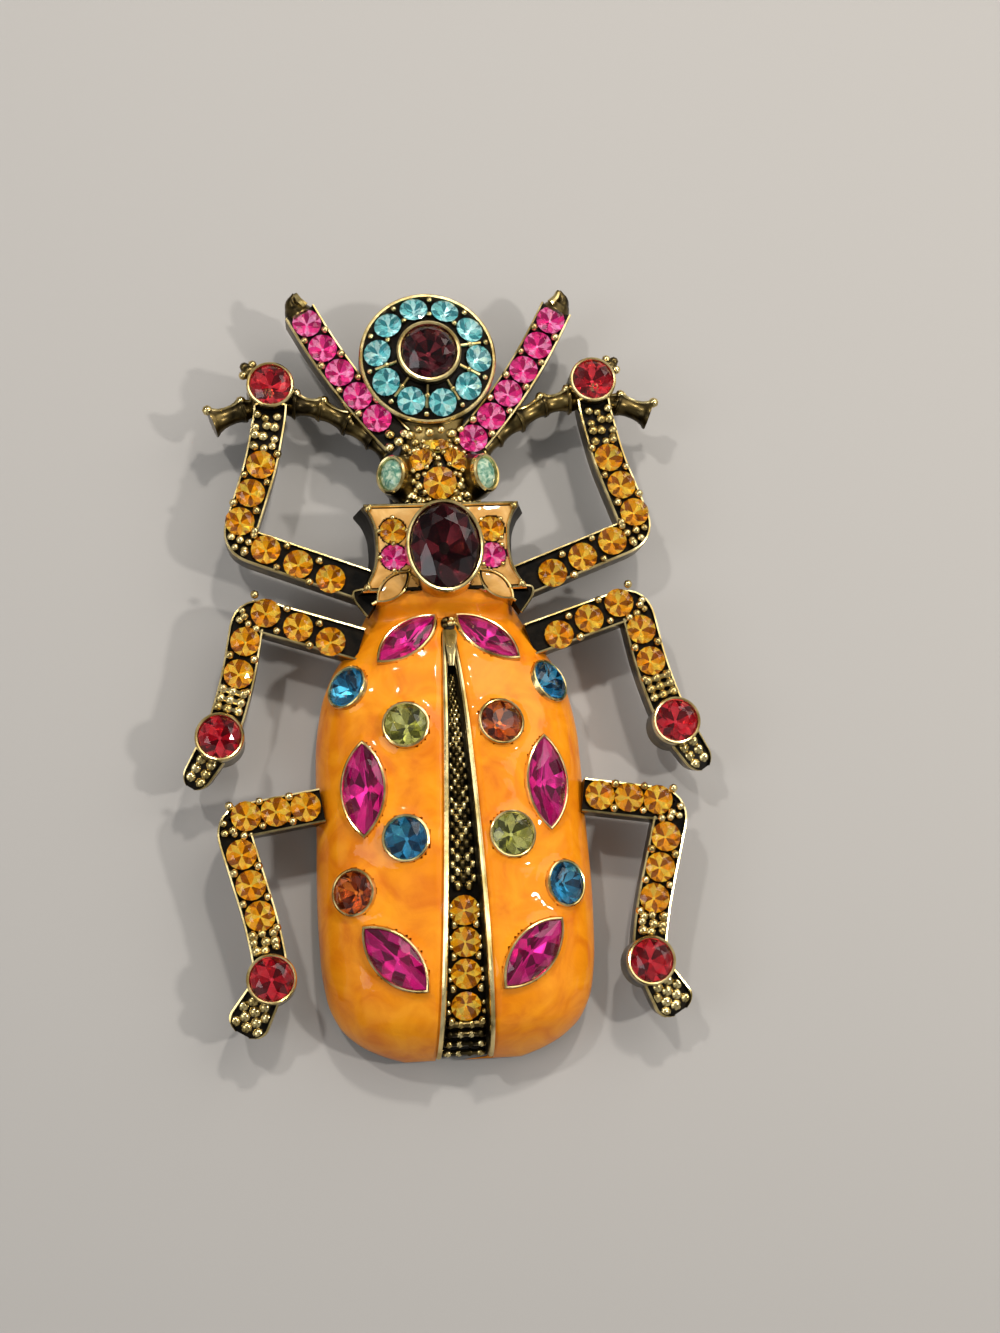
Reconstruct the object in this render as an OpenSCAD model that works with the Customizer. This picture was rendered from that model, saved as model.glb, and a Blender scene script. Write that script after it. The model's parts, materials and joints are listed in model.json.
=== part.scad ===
// Beetle brooch: one antiqued metal casting with a hollow back, orange enamel poured over the
// wing cases and the thorax, cut stones in raised collars and drilled seats, and a plain pin
// across the hollow back.
// The back rim lies on z = 0 and +Z points out of the cloth. +Y runs to the head and +X to the
// right, seen from the front. The origin is at the middle of the length, on the back plane.
// Lengths are in millimetres and angles in degrees.

/* [Wing cases] */
// Length of the wing cases, from the neck to the tail
wing_l = 52.4; // [50:0.2:60]
// Width of the wing cases
wing_w = 31.2; // [30:0.2:36]
// Height of the upright back rim
rim_h = 2; // [1.6:0.1:3]
// Rise of the dome above the back rim
dome_rise = 9.8; // [9:0.2:12]
// Metal thickness between the dome and the hollow back
shell_t = 2.8; // [2.6:0.1:3.4]
// Width of the opening between the wing tips
groove_w = 5.2; // [5:0.1:7]
// Depth of the opening between the wings
groove_depth = 2.2; // [1.6:0.1:2.6]
// Sideways bow of the opening at mid length
groove_bow = 0.4; // [0:0.1:1]
// Metal thickness under the abdomen
floor_t = 1.6; // [1.5:0.1:2.2]
// Width of the bare metal edge beside the opening
edge_w = 0.6; // [0.4:0.1:1]
// Thickness of the enamel
enamel_t = 0.6; // [0.4:0.1:0.8]

/* [Thorax and head] */
// Length from the neck to the tips of the horns
fore_l = 37.2; // [36:0.2:44]
// Width across the front corners of the thorax plate
thorax_w = 16.8; // [16.2:0.2:20]
// Length of the thorax plate
thorax_l = 9.8; // [9.6:0.2:12]
// Height of the thorax plate above the back plane
thorax_h = 9.8; // [9:0.2:11]
// Width of the head
head_w = 11.4; // [11:0.2:13]
// Height of the head above the back plane
head_h = 10.6; // [10:0.2:12]
// Length of the leaf-shaped cells behind the thorax plate
leaf_l = 4.6; // [4:0.1:5]
// Width of the leaf-shaped cells
leaf_w = 2; // [1.6:0.1:2.4]

/* [Disc, horns and antennae] */
// Diameter of the disc
disc_d = 16.2; // [15.6:0.2:18]
// Height of the disc's outer edge above the back plane
disc_h = 8.2; // [7.8:0.1:9]
// Sideways offset of the disc from the middle
disc_shift = -0.5; // [-0.6:0.1:0.6]
// Slope of the ring of the disc, falling outwards
disc_slope = 20; // [12:1:26]
// Number of stones round the disc
disc_count = 10; // [6:1:10]
// Spread of the horns, across their tips
horn_spread = 27.2; // [26:0.2:32]
// Width of the horns' upper face
horn_w = 3.9; // [3.7:0.1:4.6]
// Thickness of the antennae
antenna_w = 2.2; // [1.8:0.1:2.8]

/* [Legs] */
// Span of the legs, from toe to toe
leg_span = 61.6; // [60:0.2:72]
// Width of the legs' upper face
leg_w = 3.9; // [3.7:0.1:4.6]
// Height of the legs' upper face above the back plane
leg_h = 7.2; // [6.8:0.1:8]
// Height of the legs' underside above the back plane
leg_low = 3.4; // [2.6:0.1:3.8]

/* [Stones] */
// Diameter of the small stones in the legs, horns, disc and abdomen
small_d = 3.1; // [2.4:0.1:3.1]
// Least spacing of small stones in a row
row_pitch = 3.3; // [3.3:0.1:4]
// Diameter of the two pairs of stones in the thorax
thorax_stone_d = 2.8; // [2.2:0.1:2.8]
// Diameter of the round stones in the wing cases
round_d = 4.6; // [4:0.1:4.8]
// Length of the pointed stones in the wing cases
navette_l = 10; // [9:0.1:10.4]
// Width of the pointed stones in the wing cases
navette_w = 4.8; // [4:0.1:5]
// Length of the oval stone of the thorax
oval_l = 9.4; // [8.6:0.1:9.6]
// Width of the oval stone of the thorax
oval_w = 7.4; // [6.6:0.1:7.6]
// Diameter of the middle stone of the disc
disc_stone_d = 6.4; // [5.6:0.1:6.6]
// Diameter of the stones at the feet
foot_d = 4.7; // [4.2:0.1:5]
// Length of the eyes
eye_l = 3.6; // [3:0.1:4]
// Width of the eyes
eye_w = 2.9; // [2.4:0.1:3.2]
// Diameter of the stone in the middle of the head
head_stone_d = 3.5; // [3:0.1:3.6]
// Wall of the raised collars round the larger stones
collar_t = 0.5; // [0.4:0.05:0.6]
// Gap between a stone or an enamel field and the metal
fit_gap = 0.1; // [0.06:0.01:0.14]

/* [Pin back] */
// Length of the bar
bar_l = 20; // [16:0.5:21]
// Width of the bar
bar_w = 4.4; // [3.6:0.1:5]
// Thickness of the bar
bar_t = 1; // [0.8:0.1:1.2]
// Height of the bar's underside above the back plane
bar_z = 3.4; // [3:0.1:3.8]
// Diameter of the pin's wire
wire_d = 0.9; // [0.8:0.05:1.1]
// Height of the wire's underside above the back plane
wire_low = 0.9; // [0.6:0.1:1.2]

/* [Hidden] */
SIDES = ["left", "right"];
LEGS = ["front", "mid", "hind"];
WING_STONES = 7;
HEAD_STONES = 4;

GOLD = "#a08a4a";
ORANGE = "#f2921d";
PALE_ORANGE = "#eab06a";
AMETHYST = "#4a1f2e";
FUCHSIA = "#d0108a";
PINK = "#f04aa8";
BLUE = "#1d86b4";
AQUA = "#5fc3d3";
PERIDOT = "#a9b04a";
TOPAZ = "#c4581c";
AMBER = "#e8a21c";
RUBY = "#d01838";
OPAL = "#8fcdb0";

// Reference lines along the length
neck_y = (wing_l - fore_l) / 2;
tail_y = neck_y - wing_l;
big = 60;
sink = 1;

// Outline and crown of the wing cases: columns are the share of the length from the neck, the
// share of the half width, and the share of the rise
WING = [
    [0.00, 0.52, 0.42],
    [0.05, 0.60, 0.57],
    [0.10, 0.70, 0.72],
    [0.16, 0.83, 0.87],
    [0.23, 0.92, 0.95],
    [0.33, 0.97, 1.00],
    [0.50, 0.985, 1.00],
    [0.66, 1.00, 0.99],
    [0.78, 0.99, 0.95],
    [0.86, 0.955, 0.87],
    [0.92, 0.87, 0.74],
    [0.96, 0.73, 0.56],
    [0.985, 0.57, 0.36],
    [1.00, 0.42, 0.14]
];
// Power of the cross section, where 2 is an ellipse
roundness = 2.3;
arc_step = 18;
groove_from = 0.06;
groove_open_from = 0.165;
groove_steps = 7;
groove_power = 0.8;
rib_margin = 1.2;
least_rise = 0.4;
field_rise = 0.5;

function wing_y(share) = neck_y - share * wing_l;
function wing_share(y) = (neck_y - y) / wing_l;
function station(share, column) = lookup(share, [for (r = WING) [r[0], r[column]]]);
function half_at(share) = wing_w / 2 * station(share, 1);
function rise_at(share) = dome_rise * station(share, 2);
function across(x, half) = pow(max(0, 1 - pow(min(1, abs(x) / half), roundness)), 1 / roundness);
function bulge(v) = sign(v) * pow(abs(v), 2 / roundness);
function dome_z(x, y) =
    let (s = wing_share(y))
    rim_h + rise_at(s) * across(x, half_at(s));
function groove_x(share) = groove_bow * sin(180 * share);
function groove_half(share) =
    groove_w / 2 * pow(max(0, (share - groove_from) / (1 - groove_from)), groove_power);

// A seat is [x, y, z, tilt, azimuth, spin]: a place, how far its axis leans and which way, and
// the turn of what sits there
function dome_seat(x, y, spin, drop = 0) =
    let (step = 0.4)
    let (slope_x = (dome_z(x + step, y) - dome_z(x - step, y)) / (2 * step))
    let (slope_y = (dome_z(x, y + step) - dome_z(x, y - step)) / (2 * step))
    let (lean = atan(norm([slope_x, slope_y])))
    let (way = atan2(-slope_y, -slope_x))
    [x, y, dome_z(x, y) - drop, lean, way, spin];

module at(seat) {
    translate([seat[0], seat[1], seat[2]])
        rotate([0, seat[3], seat[4]])
            rotate([0, 0, seat[5] - seat[4]])
                children();
}

module mirrored(side) {
    if (side == "left")
        mirror([1, 0, 0]) children();
    else
        children();
}

// Points from one place to another with at least the row's spacing between them
function row(a, b) =
    let (n = max(1, floor(norm(b - a) / row_pitch + 0.001)))
    [for (k = [0:n]) a + (b - a) * k / n];

// Outlines of stones, all centred
function ellipse_outline(length, width, sides) =
    [for (k = [0:sides - 1]) [length / 2 * cos(360 * k / sides), width / 2 * sin(360 * k / sides)]];
function navette_outline(length, width, sides) =
    let (r = (length * length + width * width) / (4 * width))
    let (half_angle = asin(length / 2 / r))
    let (m = sides / 2)
    [for (k = [0:sides - 1])
        let (up = k < m ? 1 : -1)
        let (a = half_angle * (1 - 2 * (k % m) / m))
        [up * r * sin(a), up * (r * cos(a) - (r - width / 2))]];
function grown(outline, extra) = [for (p = outline) p * (1 + extra / norm(p))];

small_outline = ellipse_outline(small_d, small_d, 8);
thorax_stone_outline = ellipse_outline(thorax_stone_d, thorax_stone_d, 8);
round_outline = ellipse_outline(round_d, round_d, 9);
foot_outline = ellipse_outline(foot_d, foot_d, 10);
head_outline = ellipse_outline(head_stone_d, head_stone_d, 10);
eye_outline = ellipse_outline(eye_l, eye_w, 10);
disc_stone_outline = ellipse_outline(disc_stone_d, disc_stone_d, 12);
oval_outline = ellipse_outline(oval_l, oval_w, 14);
wing_navette_outline = navette_outline(navette_l, navette_w, 10);
leaf_outline = navette_outline(leaf_l, leaf_w, 8);

// Proportions of a cut stone: the table's share of the width, and heights as shares of the width
table_share = 0.56;
crown_share = 0.16;
girdle_share = 0.05;
pavilion_share = 0.36;

function stone_width(outline) = 2 * min([for (p = outline) norm(p)]);

// A cut stone with its girdle's lower edge at z = 0: a flat table, a facet to each side of the
// outline above the girdle and another below it
module cut_stone(outline, girdled = true) {
    n = len(outline);
    w = stone_width(outline);
    girdle = girdled ? girdle_share * w : 0;
    top = girdle + crown_share * w;
    levels = girdled ? [[table_share, top], [1, girdle], [1, 0]] : [[table_share, top], [1, 0]];
    m = len(levels);
    points = concat(
        [for (v = levels) each [for (p = outline) [p[0] * v[0], p[1] * v[0], v[1]]]],
        [[0, 0, -pavilion_share * w]]
    );
    faces = concat(
        [[for (k = [n - 1:-1:0]) k]],
        [for (v = [0:m - 2]) each [for (k = [0:n - 1])
            [v * n + k, v * n + (k + 1) % n, (v + 1) * n + (k + 1) % n, (v + 1) * n + k]]],
        [for (k = [0:n - 1]) [(m - 1) * n + k, (m - 1) * n + (k + 1) % n, m * n]]
    );
    polyhedron(points, faces);
}

pocket_mouth = 6;

// The pocket that a stone sits in, and the raised metal round a larger one
module pocket(outline) {
    depth = pavilion_share * stone_width(outline) + fit_gap;
    translate([0, 0, -depth])
        linear_extrude(depth + pocket_mouth)
            polygon(grown(outline, fit_gap));
}

module collar(outline, extra = 0, down = collar_root) {
    translate([0, 0, -down])
        linear_extrude(down + collar_lip)
            polygon(grown(outline, fit_gap + collar_t + extra));
}
collar_root = 2.4;
collar_lip = 0.25;
stone_lift = 0.2;

// The domed form of the wing cases, drawn in by an offset on every side
function section(share, offset, low) =
    let (half = half_at(share) - offset)
    let (rise = max(rise_at(share) - offset, least_rise))
    let (y = neck_y - offset - share * (wing_l - 2 * offset))
    concat(
        [[half, y, low]],
        [for (a = [0:arc_step:180])
            [bulge(cos(a)) * half, y, rim_h + rise * bulge(sin(a))]],
        [[-half, y, low]]
    );

module dome(offset = 0, low = 0) {
    rings = [for (r = WING) section(r[0], offset, low)];
    m = len(rings[0]);
    n = len(rings);
    faces = concat(
        [[for (k = [0:m - 1]) k]],
        [for (j = [0:n - 2]) each [for (k = [0:m - 1])
            let (next = (k + 1) % m)
            [j * m + next, j * m + k, (j + 1) * m + k, (j + 1) * m + next]]],
        [[for (k = [m - 1:-1:0]) (n - 1) * m + k]]
    );
    polyhedron([for (r = rings) each r], faces, convexity = 6);
}

// The space between the wings, widened by an extra on each side and at its start
module groove(extra, from, low = -1) {
    start = from - extra / wing_l;
    shares = [for (k = [0:groove_steps]) start + (1.02 - start) * k / groove_steps];
    edge = [for (s = shares) [s, groove_half(s) + extra]];
    translate([0, 0, low])
        linear_extrude(big)
            polygon(concat(
                [for (e = edge) [groove_x(e[0]) + e[1], wing_y(e[0])]],
                [for (k = [len(edge) - 1:-1:0]) [groove_x(edge[k][0]) - edge[k][1], wing_y(edge[k][0])]]
            ));
}

// Wing stones: columns are the share of the room left between the opening's edge and the rim, the
// share of the length, the share of a pointed stone's full size (0 is a round stone) and the spin
WING_SEATS = [
    [-0.073, 0.111, 0.82, -41],
    [1.062, 0.209, 0, 0],
    [0.050, 0.306, 0, 0],
    [0.683, 0.435, 1, -89],
    [0.030, 0.546, 0, 0],
    [0.855, 0.650, 0, 0],
    [0.140, 0.793, 0.92, 47]
];
WING_COLOURS = [
    [FUCHSIA, BLUE, PERIDOT, FUCHSIA, BLUE, TOPAZ, FUCHSIA],
    [FUCHSIA, BLUE, TOPAZ, FUCHSIA, PERIDOT, BLUE, FUCHSIA]
];

// Wing width that the sizes of the wing stones are given for
stones_wing_w = 31.2;
function wing_outline(k) =
    let (size = WING_SEATS[k - 1][2])
    (size == 0 ? round_outline : wing_navette_outline * size) * wing_w / stones_wing_w;
// Half the width across the wing of a collar's cut-out
function cut_half(k) =
    let (spin = WING_SEATS[k - 1][3])
    max([for (p = grown(wing_outline(k), 2 * fit_gap + collar_t)) p[0] * cos(spin) - p[1] * sin(spin)]);
function wing_seat(k) =
    let (r = WING_SEATS[k - 1])
    let (edge = groove_x(r[1]) + groove_half(r[1]) + edge_w + fit_gap)
    let (room = half_at(r[1]) - edge - 2 * cut_half(k))
    dome_seat(edge + cut_half(k) + r[0] * room, wing_y(r[1]), r[3]);

// Middle line of the abdomen, seen in the opening, and its row of stones
ABDOMEN_ROW = [0.697, 0.894];
abdomen_places = row([0, wing_y(ABDOMEN_ROW[0])], [0, wing_y(ABDOMEN_ROW[1])]);
function abdomen_seat(p) = dome_seat(groove_x(wing_share(p[1])), p[1], 0, groove_depth);

// Thorax plate: columns are the share of the length from the neck and the share of the half width
THORAX = [
    [-0.02, 1.12],
    [0.10, 1.02],
    [0.28, 0.93],
    [0.48, 0.90],
    [0.68, 0.91],
    [0.88, 0.95],
    [1.00, 1.00]
];
thorax_flare = 1.16;
oval_at = 0.428;
oval_lip = 2.7;
oval_root = 4;
thorax_amber_at = [0.67, 0.69];
thorax_pink_at = [0.67, 0.375];
leaf_at = [0.69, 0.03];
leaf_turn = -38;
leaf_pad_h = 7;
leaf_drop = 0.6;
leaf_rim = 0.4;
thorax_margin = 0.55;
field_clear = 0.08;
thorax_stone_rim = 0.3;

function thorax_y(share) = neck_y + share * thorax_l;
thorax_outline = concat(
    [for (r = THORAX) [r[1] * thorax_w / 2, thorax_y(r[0])]],
    [for (k = [len(THORAX) - 1:-1:0]) [-THORAX[k][1] * thorax_w / 2, thorax_y(THORAX[k][0])]]
);
function thorax_seat(place, z, spin) = [place[0] * thorax_w / 2, thorax_y(place[1]), z, 0, 0, spin];
oval_seat = [0, thorax_y(oval_at), thorax_h + oval_lip - collar_lip, 0, 0, 90];
leaf_seat = thorax_seat(leaf_at, thorax_h - leaf_drop, leaf_turn);

// Head: an egg form whose middle is a share of the front length past the neck
head_at = 0.363;
head_y = neck_y + head_at * fore_l;
head_z = 3;
head_under = 0.6;
head_r = [head_w / 2, head_w / 2, head_h - head_z];
function head_seat(dx, dy, spin) =
    let (ux = dx / head_r[0])
    let (uy = dy / head_r[1])
    let (uz = sqrt(1 - ux * ux - uy * uy))
    let (normal = [ux / head_r[0], uy / head_r[1], uz / head_r[2]])
    [dx, head_y + dy, head_z + uz * head_r[2],
        atan2(norm([normal[0], normal[1]]), normal[2]), atan2(normal[1], normal[0]), spin];
// Stones of the head: columns are the share of the head's half width and the share ahead of its middle
HEAD_SEATS = [
    [0, -0.23],
    [-0.36, 0.31],
    [0.36, 0.31],
    [0, 0.69]
];
head_small_share = 0.82;
head_small_outline = ellipse_outline(head_stone_d * head_small_share, head_stone_d * head_small_share, 8);
function head_stone_outline(k) = k == 1 ? head_outline : head_small_outline;
function head_stone_seat(k) =
    let (r = HEAD_SEATS[k - 1])
    head_seat(r[0] * head_r[0], r[1] * head_r[1], 0);
eye_inset = 0.3;
eye_ahead = 0.2;
eye_drop = 1.6;
eye_tilt = 36;
eye_root = 4;
eye_seat = [head_w / 2 - eye_inset, head_y + eye_ahead, head_h - eye_drop, eye_tilt, 0, 90];

// Disc: a ring that falls outwards from a raised collar in the middle
disc_at = 0.758;
disc_y = neck_y + disc_at * fore_l;
disc_low = 4.6;
disc_rim_w = 0.6;
disc_chamfer = 0.5;
disc_collar_h = 0.4;
disc_ring_r = disc_d / 2 - small_d / 2 - disc_rim_w;
disc_collar_r = disc_stone_d / 2 + fit_gap + collar_t;
disc_top = disc_h + (disc_d / 2 - disc_collar_r) * tan(disc_slope);
disc_turn = -4;
disc_edge = 0.45;
disc_seat = [disc_shift, disc_y, disc_top + disc_collar_h, 0, 0, 0];
function disc_ring_seat(k) =
    let (a = disc_turn + 360 * k / disc_count)
    [disc_shift + disc_ring_r * cos(a), disc_y + disc_ring_r * sin(a),
        disc_h + (disc_d / 2 - disc_ring_r) * tan(disc_slope), disc_slope, a, 0];

// Horns: places are shares of half the spread and of the front length past the neck
horn_low = 3.8;
horn_h = 7.6;
function horn_place(u, v) = [u * horn_spread / 2, neck_y + v * fore_l];
horn_root = horn_place(0.324, 0.496);
horn_bend = horn_place(0.755, 0.672);
horn_end = horn_place(1.06, 0.887);
horn_tip = horn_place(1.0, 1.0);
horn_taper = 0.6;
tip_d = 1.3;
tip_lift = 1.2;
function horn_at(t) = (1 - t) * (1 - t) * horn_root + 2 * t * (1 - t) * horn_bend + t * t * horn_end;
horn_count = floor(norm(horn_end - horn_root) / row_pitch + 0.001);
left_empty = 1;

// Antennae: columns are the share of half the leg span, the share of the front length past the
// neck, and the share of the antenna's thickness
ANTENNA = [
    [0.175, 0.465, 1.0],
    [0.235, 0.515, 1.0],
    [0.325, 0.572, 1.15],
    [0.430, 0.618, 1.0],
    [0.525, 0.635, 1.2],
    [0.620, 0.635, 1.15],
    [0.720, 0.618, 1.0],
    [0.780, 0.602, 1.3],
    [0.840, 0.580, 1.3]
];
antenna_z = 5.6;
antenna_waist = 0.8;
antenna_stretch = 1.15;
function antenna_place(r) = [r[0] * leg_span / 2, neck_y + r[1] * fore_l];

// Legs: the x columns are shares of the reach from the hip to the end of the span, and the y
// columns are shares of the front length ahead of the neck or of the wing length behind it.
// Each row is hip, first row of stones from and to, knee, second row from and to, ankle, foot, toe.
FRONT_LEG = [[-0.16, 0.02], [0.105, 0.055], [0.465, 0.154], [0.628, 0.184], [0.607, 0.246],
    [0.478, 0.427], [0.413, 0.600], [0.409, 0.679], [0.409, 0.679]];
MID_LEG = [[-0.06, 0.108], [0.110, 0.101], [0.472, 0.033], [0.566, 0.030], [0.592, 0.095],
    [0.635, 0.166], [0.690, 0.240], [0.750, 0.305], [0.925, 0.405]];
HIND_LEG = [[-0.04, 0.457], [0.081, 0.459], [0.508, 0.474], [0.622, 0.487], [0.547, 0.555],
    [0.430, 0.686], [0.380, 0.760], [0.363, 0.819], [0.585, 0.910]];
FRONT_HIP = 0.686;
MID_HIP = 0.699;
HIND_HIP = 0.981;
HIP = 0;
ROW_1 = [1, 2];
KNEE = 3;
ROW_2 = [4, 5];
ANKLE = 6;
FOOT = 7;
TOE = 8;

function leg_table(leg) = leg == "front" ? FRONT_LEG : leg == "mid" ? MID_LEG : HIND_LEG;
function leg_hip(leg) = wing_w / 2 * (leg == "front" ? FRONT_HIP : leg == "mid" ? MID_HIP : HIND_HIP);
function leg_point(leg, k) =
    let (p = leg_table(leg)[k])
    let (hip = leg_hip(leg))
    [hip + p[0] * (leg_span / 2 - hip), leg == "front" ? neck_y + p[1] * fore_l : wing_y(p[1])];
function leg_places(leg) = concat(
    row(leg_point(leg, ROW_1[0]), leg_point(leg, ROW_1[1])),
    row(leg_point(leg, ROW_2[0]), leg_point(leg, ROW_2[1]))
);
foot_rise = 0.8;
foot_z = leg_h + foot_rise;
post_sides = 8;
bar_draft = 0.5;
toe_share = 0.76;
toe_drop = 1.4;

function flat_seat(p, z) = [p[0], p[1], z, 0, 0, 0];

// A bar with a flat top and leaning sides, from place to place
module post(p, w, low, high) {
    translate([p[0], p[1], low])
        rotate([0, 0, 180 / post_sides])
            cylinder(d1 = w + bar_draft, d2 = w, h = high - low, $fn = post_sides);
}

module bar(places, w, low, high) {
    for (k = [0:len(places) - 2])
        hull() {
            post(places[k], w, low, high);
            post(places[k + 1], w, low, high);
        }
}

// The leg where it leaves the wing case, grown by an extra all round
module leg_root(leg, extra) {
    bar([leg_point(leg, HIP), leg_point(leg, KNEE)], leg_w + 2 * extra, leg_low - extra, leg_h + extra);
}

module leg(leg) {
    path = [for (k = [HIP, KNEE, ROW_2[1], ANKLE, FOOT]) leg_point(leg, k)];
    bar(path, leg_w, leg_low, leg_h);
    foot = leg_point(leg, FOOT);
    toe = leg_point(leg, TOE);
    post(foot, foot_d + 2 * (collar_t + fit_gap), leg_low, foot_z + collar_lip);
    if (norm(toe - foot) > 0)
        hull() {
            post(foot, leg_w, leg_low, leg_h);
            post(toe, leg_w * toe_share, leg_low, leg_h - toe_drop);
        }
}

module horn() {
    bar([for (k = [0:5]) horn_at(k / 5)], horn_w, horn_low, horn_h);
    hull() {
        post(horn_end, horn_w - horn_taper, horn_low + horn_taper, horn_h);
        translate([horn_tip[0], horn_tip[1] - tip_d / 2, horn_low + tip_lift])
            cylinder(d = tip_d, h = horn_h - horn_low - tip_lift, $fn = 6);
    }
}

module antenna() {
    for (k = [0:len(ANTENNA) - 2])
        hull() {
            antenna_lump(ANTENNA[k], 1);
            antenna_lump(ANTENNA[k + 1], antenna_waist);
        }
}

module antenna_lump(r, share) {
    p = antenna_place(r);
    d = antenna_w * r[2] * share;
    translate([p[0], p[1], antenna_z])
        rotate([90, 0, 0])
            cylinder(d = d * antenna_stretch, h = d, center = true, $fn = 6);
}

module thorax() {
    translate([0, thorax_y(0.5), 0])
        linear_extrude(thorax_h, scale = [1 / thorax_flare, 1])
            translate([0, -thorax_y(0.5)])
                scale([thorax_flare, 1])
                    polygon(thorax_outline);
    at(oval_seat) collar(oval_outline, 0, oval_lip + oval_root);
}

module head() {
    intersection() {
        translate([0, head_y, head_z]) scale(head_r) sphere(r = 1, $fn = 16);
        translate([-big / 2, -big / 2, head_z - head_under]) cube([big, 2 * big, big]);
    }
}

module disc() {
    r = disc_d / 2;
    translate([disc_shift, disc_y, 0])
        rotate_extrude($fn = 24)
            polygon([
                [0, disc_low],
                [r - disc_chamfer, disc_low],
                [r, disc_low + disc_chamfer],
                [r, disc_h],
                [r - disc_edge, disc_h + disc_edge * tan(disc_slope)],
                [disc_collar_r, disc_top],
                [disc_collar_r, disc_top + disc_collar_h + collar_lip],
                [0, disc_top + disc_collar_h + collar_lip]
            ]);
}

// Where the enamel of the wing cases lies, drawn in by an extra at its edges
module wing_field(extra) {
    difference() {
        translate([-big / 2, tail_y - sink, rim_h + field_rise + extra])
            cube([big, wing_l + sink - enamel_t - 2 * extra, big]);
        groove(edge_w + extra, groove_from);
    }
}

module leaf_pad(extra = 0) {
    at(leaf_seat) collar(leaf_outline, extra + leaf_rim - fit_gap - collar_t, leaf_pad_h);
}

module wing_pocket() {
    intersection() {
        difference() {
            dome(-sink / 2, -sink);
            dome(enamel_t + fit_gap);
        }
        wing_field(0);
    }
}

module collars(extra = 0) {
    for (s = SIDES)
        mirrored(s) {
            for (k = [1:WING_STONES])
                at(wing_seat(k)) translate([0, 0, stone_lift]) collar(wing_outline(k), extra);
            leaf_pad(extra);
        }
}

module hollow() {
    difference() {
        dome(shell_t, -sink);
        groove(rib_margin, groove_from, -2 * sink);
    }
    dome(groove_depth + floor_t, -sink);
    hull() {
        thorax_hollow(thorax_hollow_w[0], thorax_hollow_wall[0], 0);
        thorax_hollow(thorax_hollow_w[1], thorax_hollow_wall[1], thorax_h - thorax_roof);
    }
}

// Mouth and roof of the hollow behind the thorax: shares of its width, walls at its ends
thorax_hollow_w = [0.6, 0.44];
thorax_hollow_wall = [1, 2];
thorax_roof = 5.4;

module thorax_hollow(share, wall, top) {
    translate([-thorax_w * share / 2, neck_y + wall, -sink])
        cube([thorax_w * share, thorax_l - 2 * wall, sink + top]);
}

// Bosses in the hollow that the pin's bar is seated on
bar_at = 0.30;
bar_y = wing_y(bar_at);
boss_share = 0.72;
boss_x = bar_l / 2 * boss_share;
boss_d = 3.4;

module bosses() {
    for (side = [-1, 1])
        translate([side * boss_x, bar_y, bar_z + bar_t + fit_gap])
            cylinder(d = boss_d, h = dome_z(boss_x, bar_y) - shell_t + sink - bar_z - bar_t, $fn = 12);
}

module seats() {
    at(oval_seat) pocket(oval_outline);
    at(disc_seat) pocket(disc_stone_outline);
    for (k = [0:disc_count - 1]) at(disc_ring_seat(k)) pocket(small_outline);
    for (p = abdomen_places) at(abdomen_seat(p)) pocket(small_outline);
    for (k = [1:HEAD_STONES]) at(head_stone_seat(k)) pocket(head_stone_outline(k));
    for (s = SIDES)
        mirrored(s) {
            for (k = [1:WING_STONES]) at(wing_seat(k)) translate([0, 0, stone_lift]) pocket(wing_outline(k));
            at(thorax_seat(thorax_amber_at, thorax_h, 0)) pocket(thorax_stone_outline);
            at(thorax_seat(thorax_pink_at, thorax_h, 0)) pocket(thorax_stone_outline);
            at(eye_seat) pocket(eye_outline);
            for (k = [0:horn_count]) at(flat_seat(horn_at(k / horn_count), horn_h)) pocket(small_outline);
            for (g = LEGS) {
                for (p = leg_places(g)) at(flat_seat(p, leg_h)) pocket(small_outline);
                at(flat_seat(leg_point(g, FOOT), foot_z)) pocket(foot_outline);
            }
        }
}

module thorax_field(extra) {
    difference() {
        offset(delta = -thorax_margin - extra) polygon(thorax_outline);
        translate([-big, -big / 2]) square([big + 0.5, big * 2]);
        translate([oval_seat[0], oval_seat[1]])
            rotate(90) polygon(grown(oval_outline, fit_gap + collar_t + field_clear + extra));
        hull()
            for (p = [thorax_amber_at, thorax_pink_at])
                translate([p[0] * thorax_w / 2, thorax_y(p[1])])
                    circle(r = thorax_stone_d / 2 + fit_gap + thorax_stone_rim + extra, $fn = 16);
        translate([leaf_seat[0], leaf_seat[1]])
            rotate(leaf_turn) polygon(grown(leaf_outline, collar_t + extra));
        translate([0, thorax_y(0)])
            square([thorax_pink_at[0] * thorax_w / 2, thorax_pink_at[1] * thorax_l]);
    }
}

module casting() {
    color(GOLD) {
        difference() {
            union() {
                difference() {
                    dome();
                    groove(0, groove_open_from);
                    wing_pocket();
                }
                dome(groove_depth);
                thorax();
                head();
                disc();
                collars();
                for (s = SIDES)
                    mirrored(s) {
                        at(eye_seat) collar(eye_outline, 0, eye_root);
                        horn();
                        antenna();
                        for (g = LEGS) leg(g);
                    }
            }
            hollow();
            seats();
            for (s = SIDES)
                mirrored(s) {
                    translate([0, 0, thorax_h - enamel_t - fit_gap]) linear_extrude(big) thorax_field(0);
                    at(leaf_seat) translate([0, 0, collar_lip - enamel_t - fit_gap])
                        linear_extrude(big) polygon(leaf_outline);
                }
        }
        bosses();
    }
}

module wing_enamel() {
    color(ORANGE)
        difference() {
            intersection() {
                difference() {
                    dome();
                    dome(enamel_t);
                }
                wing_field(fit_gap);
            }
            collars(fit_gap);
            at(oval_seat) collar(oval_outline, fit_gap, oval_lip + oval_root);
            for (s = SIDES)
                mirrored(s)
                    for (g = LEGS) leg_root(g, fit_gap);
        }
}

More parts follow.
